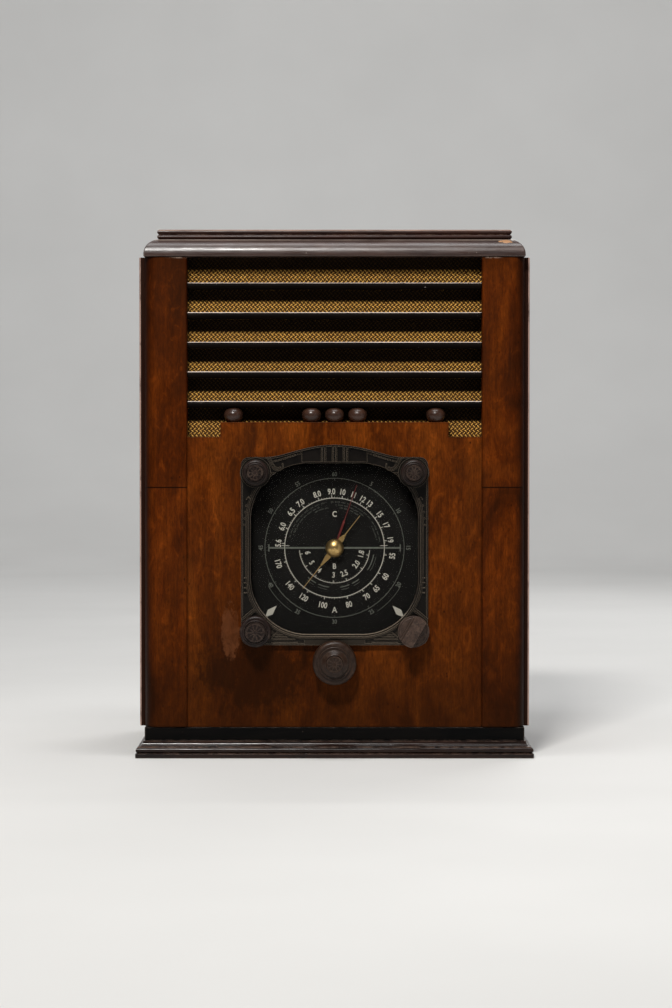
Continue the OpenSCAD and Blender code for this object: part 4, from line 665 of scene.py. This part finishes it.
FINISHES = {
    walnut_post: ["left_pilaster", "right_pilaster"],
    walnut_panel: ["front_panel"],
    walnut_side: ["left_side_board", "right_side_board"],
    lacquer: ["base_moulding"],
    bead_brown: ["ledge_beads"],
    louvre: ["louvre_slats"],
    plum: ["top_board"],
    mahogany: ["top_plate"],
    plinth_black: ["plinth"],
    pine: ["chassis_shelf", "corner_blocks"],
    board_brown: ["baffle_board"],
    bronze: ["escutcheon"],
    glass: ["dial_glass"],
    dial_black: ["dial_plate"],
    steel: ["dial_bracket", "lamp_sockets", "tuning_shaft", "tone_shaft", "fidelity_shaft",
            "volume_shaft", "band_shaft", "tuning_bush", "rotor_shaft", "lay_shaft", "gear_plate",
            "gang_frame", "chassis_pan", "chassis_bolts", "potentiometers", "band_switch"],
    brass: ["rotor_gear", "lay_gears", "spindle", "pointer"],
    red_paint: ["second_hand"],
    bulb_glass: ["pilot_lamps"],
    alu: ["rotor_blades", "stator_blades", "coil_cans"],
    ceramic: ["stator_insulators"],
    knob_brown: ["tone_knob", "fidelity_knob", "volume_knob"],
    knob_worn: ["tuning_knob"],
    band_brown: ["band_knob"],
    belt_cord: ["drive_belt"],
    paxolin: ["aerial_strip", "valve_sockets"],
    rubber: ["chassis_mounts"],
    black_iron: ["power_transformer", "speaker_basket", "field_coil", "output_transformer"],
    valve_clear: ["glass_valves"],
    valve_black: ["metal_valves"],
    paper: ["speaker_cone", "grille_cloth"],
}
for finish, names in FINISHES.items():
    for name in names:
        slots = nodes[name].data.materials
        slots.clear()
        slots.append(finish)

# Real arrises are never sharp
ROUNDED = {
    0.0009: ["base_moulding", "plinth", "left_side_board", "right_side_board", "left_pilaster",
             "right_pilaster", "front_panel", "top_board", "top_plate", "louvre_slats",
             "baffle_board", "chassis_shelf"],
    0.0004: ["corner_blocks", "dial_bracket", "chassis_pan", "power_transformer",
             "output_transformer", "tone_knob", "fidelity_knob", "volume_knob", "tuning_knob",
             "band_knob", "gang_frame", "field_coil", "coil_cans"],
    0.0003: ["escutcheon"],
}


def smooth_shading():
    """Geometry nodes that join split corners and shade every face smooth."""
    group = bpy.data.node_groups.new("smooth_shading", "GeometryNodeTree")
    group.interface.new_socket("Geometry", in_out="INPUT", socket_type="NodeSocketGeometry")
    group.interface.new_socket("Geometry", in_out="OUTPUT", socket_type="NodeSocketGeometry")
    start, end = group.nodes.new("NodeGroupInput"), group.nodes.new("NodeGroupOutput")
    join = group.nodes.new("GeometryNodeMergeByDistance")
    join.inputs["Distance"].default_value = 2e-6
    bare = group.nodes.new("GeometryNodeRemoveAttribute")
    bare.inputs["Name"].default_value = "custom_normal"
    smooth = group.nodes.new("GeometryNodeSetShadeSmooth")
    group.links.new(start.outputs[0], join.inputs["Geometry"])
    group.links.new(join.outputs["Geometry"], bare.inputs["Geometry"])
    group.links.new(bare.outputs["Geometry"], smooth.inputs["Geometry"])
    group.links.new(smooth.outputs["Geometry"], end.inputs[0])
    return group


SMOOTH = smooth_shading()


def round_edges(piece, radius):
    """Rounds a CAD node's arrises with modifiers, and leaves its own mesh as it is."""
    piece.modifiers.new("smooth_shading", "NODES").node_group = SMOOTH
    flats = piece.modifiers.new("flats", "DECIMATE")
    flats.decimate_type = "DISSOLVE"
    flats.angle_limit = math.radians(0.6)
    edges = piece.modifiers.new("rounded_edges", "BEVEL")
    edges.width = radius
    edges.segments = 2
    edges.limit_method = "ANGLE"
    edges.angle_limit = math.radians(32)
    edges.use_clamp_overlap = True
    shading = piece.modifiers.new("shading", "WEIGHTED_NORMAL")
    shading.weight = 90


for radius, names in ROUNDED.items():
    for name in names:
        round_edges(nodes[name], radius)


# Grille cloth, gold threads woven at 45 degrees over a dark backing
def make_cloth():
    low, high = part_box("grille_cloth")
    back_y = high.y - 0.00012
    # Spacing of the threads, their length, width and height, how far they stray, and the bare hem
    pitch_x, pitch_z = 0.00376, 0.00205
    long, wide, proud = 0.00290, 0.00118, 0.00044
    stray, hem = 0.00007, 0.002
    # Place along a thread, girth and rise there, and the points round it as place across and lift
    stations = ((-0.5, 0.30, 0.0), (-0.26, 0.90, 0.75), (0.0, 1.0, 1.0), (0.26, 0.90, 0.75), (0.5, 0.30, 0.0))
    section = ((-1, 0.0), (-0.55, 0.8), (0.55, 0.8), (1, 0.0))

    # The slats' painted shadow on the cloth, below their lower edges; above the first height it grows
    # shorter, at the second rate per metre
    shadow_trim_z, shadow_trim_rate = 0.365, 1.8
    heights = sorted(v.co.z for v in nodes["louvre_slats"].data.vertices)
    feet = [heights[0]] + [high_z for low_z, high_z in zip(heights, heights[1:], strict=False)
                           if high_z - low_z > 0.01]
    slat_step = (feet[-1] - feet[0]) / (len(feet) - 1)
    top_z = feet[-1] + slat_step

    def shaded(tree, shader, colour, rough):
        # Paints the slats' shadow on the cloth, darkest below each slat and above the top slat
        z = axis_value(tree, "Z")
        below = maths(tree, "SUBTRACT", feet[-1] + slat_step * 3, z)
        share = maths(tree, "FRACT", maths(tree, "DIVIDE", below, slat_step))
        shadow_trim = times(tree, maths(tree, "SUBTRACT", z, shadow_trim_z), shadow_trim_rate, clamp=True)
        share = maths(tree, "ADD", share, shadow_trim)
        dark = maths(tree, "MAXIMUM", span(tree, share, 0.50, 0.40), span(tree, z, top_z - 0.001, top_z))
        shader.inputs["Specular IOR Level"].default_value = 0.10
        join_colour(tree, shader, mix(tree, times(tree, dark, 0.96), colour, (0.0050, 0.0020, 0.0008)),
                    mix(tree, dark, rough, 0.95))

    mat, tree, shader = material("cloth_backing")
    weave = node(tree, "ShaderNodeTexWave", {
        "Vector": place(tree, (1, 1, 1), (0, 45, 0)), "Scale": 1300.0, "Distortion": 2.0})
    shaded(tree, shader, ramp(tree, weave.outputs["Fac"], [
        (0.2, (0.050, 0.022, 0.007)), (0.8, (0.130, 0.062, 0.020))]), 0.95)
    bump(tree, shader, weave.outputs["Fac"], 0.0002)
    gold, tree, shader = material("cloth_gold")
    fibre = grain(tree, place(tree, (1, 1, 1), (0, 45, 0)), 1500.0, 3.0, 0.7)
    fade = grain(tree, place(tree), 26.0, 4.0, 0.6)
    tone = ramp(tree, fibre, [(0.25, (0.55, 0.24, 0.032)), (0.75, (1.0, 0.62, 0.15))])
    tone = mix(tree, ramp(tree, fade, [(0.45, 0.0), (0.75, 0.4)]), tone, (0.42, 0.21, 0.060))
    shaded(tree, shader, tone, 0.38)
    bump(tree, shader, fibre, 0.0002)

    def sheet(bm):
        across, up = 60, 36
        grid = []
        for j in range(up + 1):
            z = low.z + (high.z - low.z) * j / up
            grid.append([])
            for i in range(across + 1):
                x = low.x + (high.x - low.x) * i / across
                slack = 0.00010 * noise.noise(Vector((x * 60, 0.3, z * 60)))
                grid[j].append(bm.verts.new((x, back_y + slack, z)))
        for j in range(up):
            for i in range(across):
                bm.faces.new((grid[j][i], grid[j][i + 1], grid[j + 1][i + 1], grid[j + 1][i]))

    def thread(bm, x, z, angle, size):
        """The part of one thread that lies over the cloth, bowed and thin at both ends."""
        along = (math.cos(angle), math.sin(angle))
        rings = []
        for at, girth, rise in stations:
            half = wide * girth * size / 2
            ring = []
            for side, lift in section:
                u, v = at * long * size, side * half
                ring.append(bm.verts.new((x + u * along[0] - v * along[1],
                                          back_y - 0.00012 - proud * lift * (0.35 + 0.65 * rise),
                                          z + u * along[1] + v * along[0])))
            rings.append(ring)
        for first, second in zip(rings, rings[1:], strict=False):
            for k in range(4):
                m = (k + 1) % 4
                bm.faces.new((first[k], first[m], second[m], second[k]))
        bm.faces.new(rings[0])
        bm.faces.new(rings[-1])

    def threads(bm):
        rng = random.Random(7)
        for row in range(int((high.z - low.z) / pitch_z)):
            lean = 1 if row % 2 else -1
            for column in range(int((high.x - low.x) / pitch_x)):
                x = low.x + (column + 0.5 + 0.25 * lean) * pitch_x + rng.gauss(0, stray)
                z = low.z + (row + 0.5) * pitch_z + rng.gauss(0, stray)
                if low.x + hem < x < high.x - hem:
                    angle = math.radians(45 * lean + rng.gauss(0, 3))
                    thread(bm, x, z, angle, 1 + rng.gauss(0, 0.06))

    woven = new_object("grille_backing", mesh_of("grille_backing", sheet), mat)
    gold_threads = new_object("grille_threads", mesh_of("grille_threads", threads), gold)
    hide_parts("grille_cloth")


make_cloth()


# Printing on the dial plate. Angles are clockwise from the top, in degrees; radii and sizes are in mm.
PRINT_Y = DIAL_Y - 0.00006
MAIN_R, OUTER_R, INNER_R = 44.7, 62.4, 31.5
SHORT_WAVE = [("5.6", -85.2), ("6.0", -67.7), ("6.5", -50.3), ("7.0", -37.1), ("8.0", -18), ("9.0", -3.1),
              ("10", 8.6), ("11", 19.8), ("12", 30.3), ("13", 38.6), ("15", 53.6), ("17", 66.6), ("19", 82)]
BROADCAST = [("170", -106.1), ("140", -130.5), ("120", -148.4), ("100", -168.7), ("80", 165.7),
             ("70", 146.5), ("65", 134.5), ("60", 119.5), ("55", 98)]
POLICE = [("6", -100.4), ("5", -122.9), ("4", -146), ("3", -178), ("2.5", 159.4), ("2.0", 127.3),
          ("1.8", 102.3)]
# Figures of each scale: radius, size, whether their tops point in, and how narrow they are
FIGURES = [(SHORT_WAVE, 50.6, 5.2, False, 0.78), (BROADCAST, 52.3, 5.2, True, 0.78),
           (POLICE, 24.3, 4.9, True, 0.80)]
# Band letters: radius, angle, size, whether the top points in, and how narrow they are
LETTERS = [("A", 55.6, 180, 5.2, True, 0.90), ("B", 16.4, 180, 5.0, True, 0.85),
           ("C", 30.4, 0, 5.0, False, 0.85)]
# Corners of the kite marks, as a radius and an angle to either side of the bottom
KITE = ((73.5, 45), (81.6, 42.9), (86.5, 44.5), (86.5, 45.5), (81.6, 47.1))
# Arcs of fine marks on the inner bands: radius, start and end
FINE_MARKS = ((41.2, -76, -12), (41.2, -4, 52), (38.6, -72, -20), (38.6, 2, 44), (36.4, -30, -8),
              (36.2, 6, 40), (41.0, 56, 84), (38.4, 60, 80))
# Bars in place of the small texts: start and end
INNER_TEXTS = ((100, 124), (142, 154), (158, 172), (188, 204), (208, 222))
OUTER_TEXTS = ((120, 146), (214, 240))


def on_dial(radius, angle):
    turn = math.radians(angle)
    return radius * MM * math.sin(turn), PRINT_Y, DIAL_Z + radius * MM * math.cos(turn)


def arc_band(bm, radius, width, start, end):
    """A flat ring or part of one, from start to end clockwise."""
    count = max(2, round(abs(end - start) / 2))
    inner, outer = [], []
    for i in range(count + 1):
        angle = start + (end - start) * i / count
        inner.append(bm.verts.new(on_dial(radius - width / 2, angle)))
        outer.append(bm.verts.new(on_dial(radius + width / 2, angle)))
    for i in range(count):
        bm.faces.new((inner[i], inner[i + 1], outer[i + 1], outer[i]))


def tick(bm, inner, outer, angle, width):
    turn = math.degrees(width / 2 / ((inner + outer) / 2))
    bm.faces.new([bm.verts.new(on_dial(r, angle + s * turn)) for r, s in
                  ((inner, -1), (inner, 1), (outer, 1), (outer, -1))])


def lettering(bm, text, radius, angle, size, top_in, squeeze, weight):
    """Text on a circle, with its top away from the centre or, with top_in, towards it."""
    curve = bpy.data.curves.new("glyphs", "FONT")
    curve.body = text
    curve.size = size * MM / 0.72
    curve.align_x, curve.align_y = "CENTER", "CENTER"
    curve.offset = weight * MM
    curve.resolution_u = 3
    holder = bpy.data.objects.new("glyphs", curve)
    bpy.context.scene.collection.objects.link(holder)
    shape = holder.to_mesh()
    xs = [v.co.x for v in shape.vertices]
    zs = [v.co.y for v in shape.vertices]
    mid_x, mid_z = (min(xs) + max(xs)) / 2, (min(zs) + max(zs)) / 2
    turn = math.radians(angle + (180 if top_in else 0))
    x0, _, z0 = on_dial(radius, angle)
    made = []
    for vertex in shape.vertices:
        u, v = (vertex.co.x - mid_x) * squeeze, vertex.co.y - mid_z
        made.append(bm.verts.new((x0 + u * math.cos(turn) + v * math.sin(turn), PRINT_Y,
                                  z0 - u * math.sin(turn) + v * math.cos(turn))))
    for polygon in shape.polygons:
        bm.faces.new([made[i] for i in polygon.vertices])
    holder.to_mesh_clear()
    bpy.data.objects.remove(holder)
    bpy.data.curves.remove(curve)


def printed(name, build, mat):
    """A thin layer of ink that faces the front. build puts its flat faces into a bmesh."""
    mesh = bpy.data.meshes.new(name)
    bm = bmesh.new()
    build(bm)
    for face in bm.faces:
        face.normal_update()
        if face.normal.y > 0:
            face.normal_flip()
    bm.to_mesh(mesh)
    bm.free()
    made = new_object(name, mesh, mat, smooth=False)
    ink = made.modifiers.new("ink", "SOLIDIFY")
    ink.thickness = 0.00005
    ink.offset = 1


def cream_print(bm):
    arc_band(bm, MAIN_R, 0.60, -180, 180)
    arc_band(bm, INNER_R, 0.50, 94, 266)
    for marks, radius, size, top_in, squeeze in FIGURES:
        for text, angle in marks:
            lettering(bm, text, radius, angle, size, top_in, squeeze, weight=0.14)
    for text, radius, angle, size, top_in, squeeze in LETTERS:
        lettering(bm, text, radius, angle, size, top_in, squeeze, weight=0.12)
    for _, angle in SHORT_WAVE + BROADCAST:
        tick(bm, MAIN_R, MAIN_R + 2.4, angle, 0.6)
    for i in range(120):
        angle = i * 3
        if abs(angle % 180 - 90) > 4:
            tick(bm, MAIN_R, MAIN_R + (1.5 if i % 5 == 0 else 1.0), angle, 0.28)
    for _, angle in POLICE:
        tick(bm, INNER_R - 2.4, INNER_R, angle, 0.5)
    for i in range(41):
        tick(bm, INNER_R - 1.1, INNER_R, 100 + i * 4, 0.26)
    for side in (-1, 1):
        tick(bm, 40.6, 47.5, side * 87.4, 0.45)
        bm.faces.new([bm.verts.new(on_dial(radius, 180 + side * angle)) for radius, angle in KITE])


def green_print(bm):
    half_bar, reach = 0.75, 58.5
    bm.faces.new([bm.verts.new((x * MM, PRINT_Y, DIAL_Z + z * MM)) for x, z in
                  ((-reach, -half_bar), (reach, -half_bar), (reach, half_bar), (-reach, half_bar))])
    for side in (-1, 1):
        tick(bm, reach, reach + 1.0, side * 90, 6.5)
    # Ring of sixty seconds with a number every five
    arc_band(bm, OUTER_R, 0.5, -180, 180)
    for i in range(60):
        angle = i * 6
        if abs(angle % 180 - 90) > 3:
            tick(bm, OUTER_R - (2.0 if i % 5 == 0 else 1.1), OUTER_R, angle, 0.32)
    for i in range(12):
        angle = i * 30
        lettering(bm, str(i * 5 or 60), 66.2, angle, 3.9, top_in=90 < angle < 270, squeeze=0.85, weight=0.10)
    step = 1.7
    for radius, start, end in FINE_MARKS:
        for i in range(round(abs(end - start) / step)):
            if (i * 7 + round(radius)) % 9 > 1:
                tick(bm, radius - 0.55, radius + 0.55, start + step * i, 0.34)
    for start, end in INNER_TEXTS:
        arc_band(bm, 35.6, 0.8, start, end)
        arc_band(bm, 38.0, 0.3, start + 2, end - 1)
    for start, end in OUTER_TEXTS:
        arc_band(bm, 68.6, 0.35, start, end)


printed("dial_scale_print", cream_print, dial_cream)
printed("dial_band_print", green_print, dial_green)


# Electrodes inside the two glass valves
def disc(bm, centre, radii, low, high, count=24):
    """An upright oval prism between two heights."""
    rings = [[bm.verts.new((centre[0] + radii[0] * math.cos(math.tau * i / count),
                            centre[1] + radii[1] * math.sin(math.tau * i / count), z))
              for i in range(count)] for z in (low, high)]
    for i in range(count):
        j = (i + 1) % count
        bm.faces.new((rings[0][i], rings[0][j], rings[1][j], rings[1][i]))
    bm.faces.new(rings[0][::-1])
    bm.faces.new(rings[1])


def valve_plates(name, centre, width, crown):
    """One valve's anode between two spacers, with its support rods and stem. width is the bulb's half."""
    foot = VALVE_FOOT
    low, high = foot + 0.26 * (crown - foot), foot + 0.74 * (crown - foot)

    def build(bm):
        disc(bm, centre, (width * 0.42, width * 0.26), low, high)
        for z in (low - 0.0010, high + 0.0002):
            disc(bm, centre, (width * 0.58, width * 0.40), z, z + 0.0008)
        for side in (-1, 1):
            at = (centre[0] + side * 0.46 * width * 0.9, centre[1])
            disc(bm, at, (0.0005, 0.0005), foot + 0.001, high + 0.004, 8)
        disc(bm, centre, (width * 0.20, width * 0.14), foot + 0.001, low - 0.004)

    new_object(name, mesh_of(name, build), plate_grey, smooth=False)


def make_valve_insides():
    points = [v.co for v in nodes["glass_valves"].data.vertices]
    split = (min(p.x for p in points) + max(p.x for p in points)) / 2
    for name, side in (("left", -1), ("right", 1)):
        island = [p for p in points if (p.x - split) * side > 0]
        spans = [(min(p[i] for p in island), max(p[i] for p in island)) for i in range(3)]
        centre = [(spans[i][0] + spans[i][1]) / 2 for i in (0, 1)]
        valve_plates(f"valve_plates_{name}", centre, (spans[0][1] - spans[0][0]) / 2, spans[2][1])


make_valve_insides()
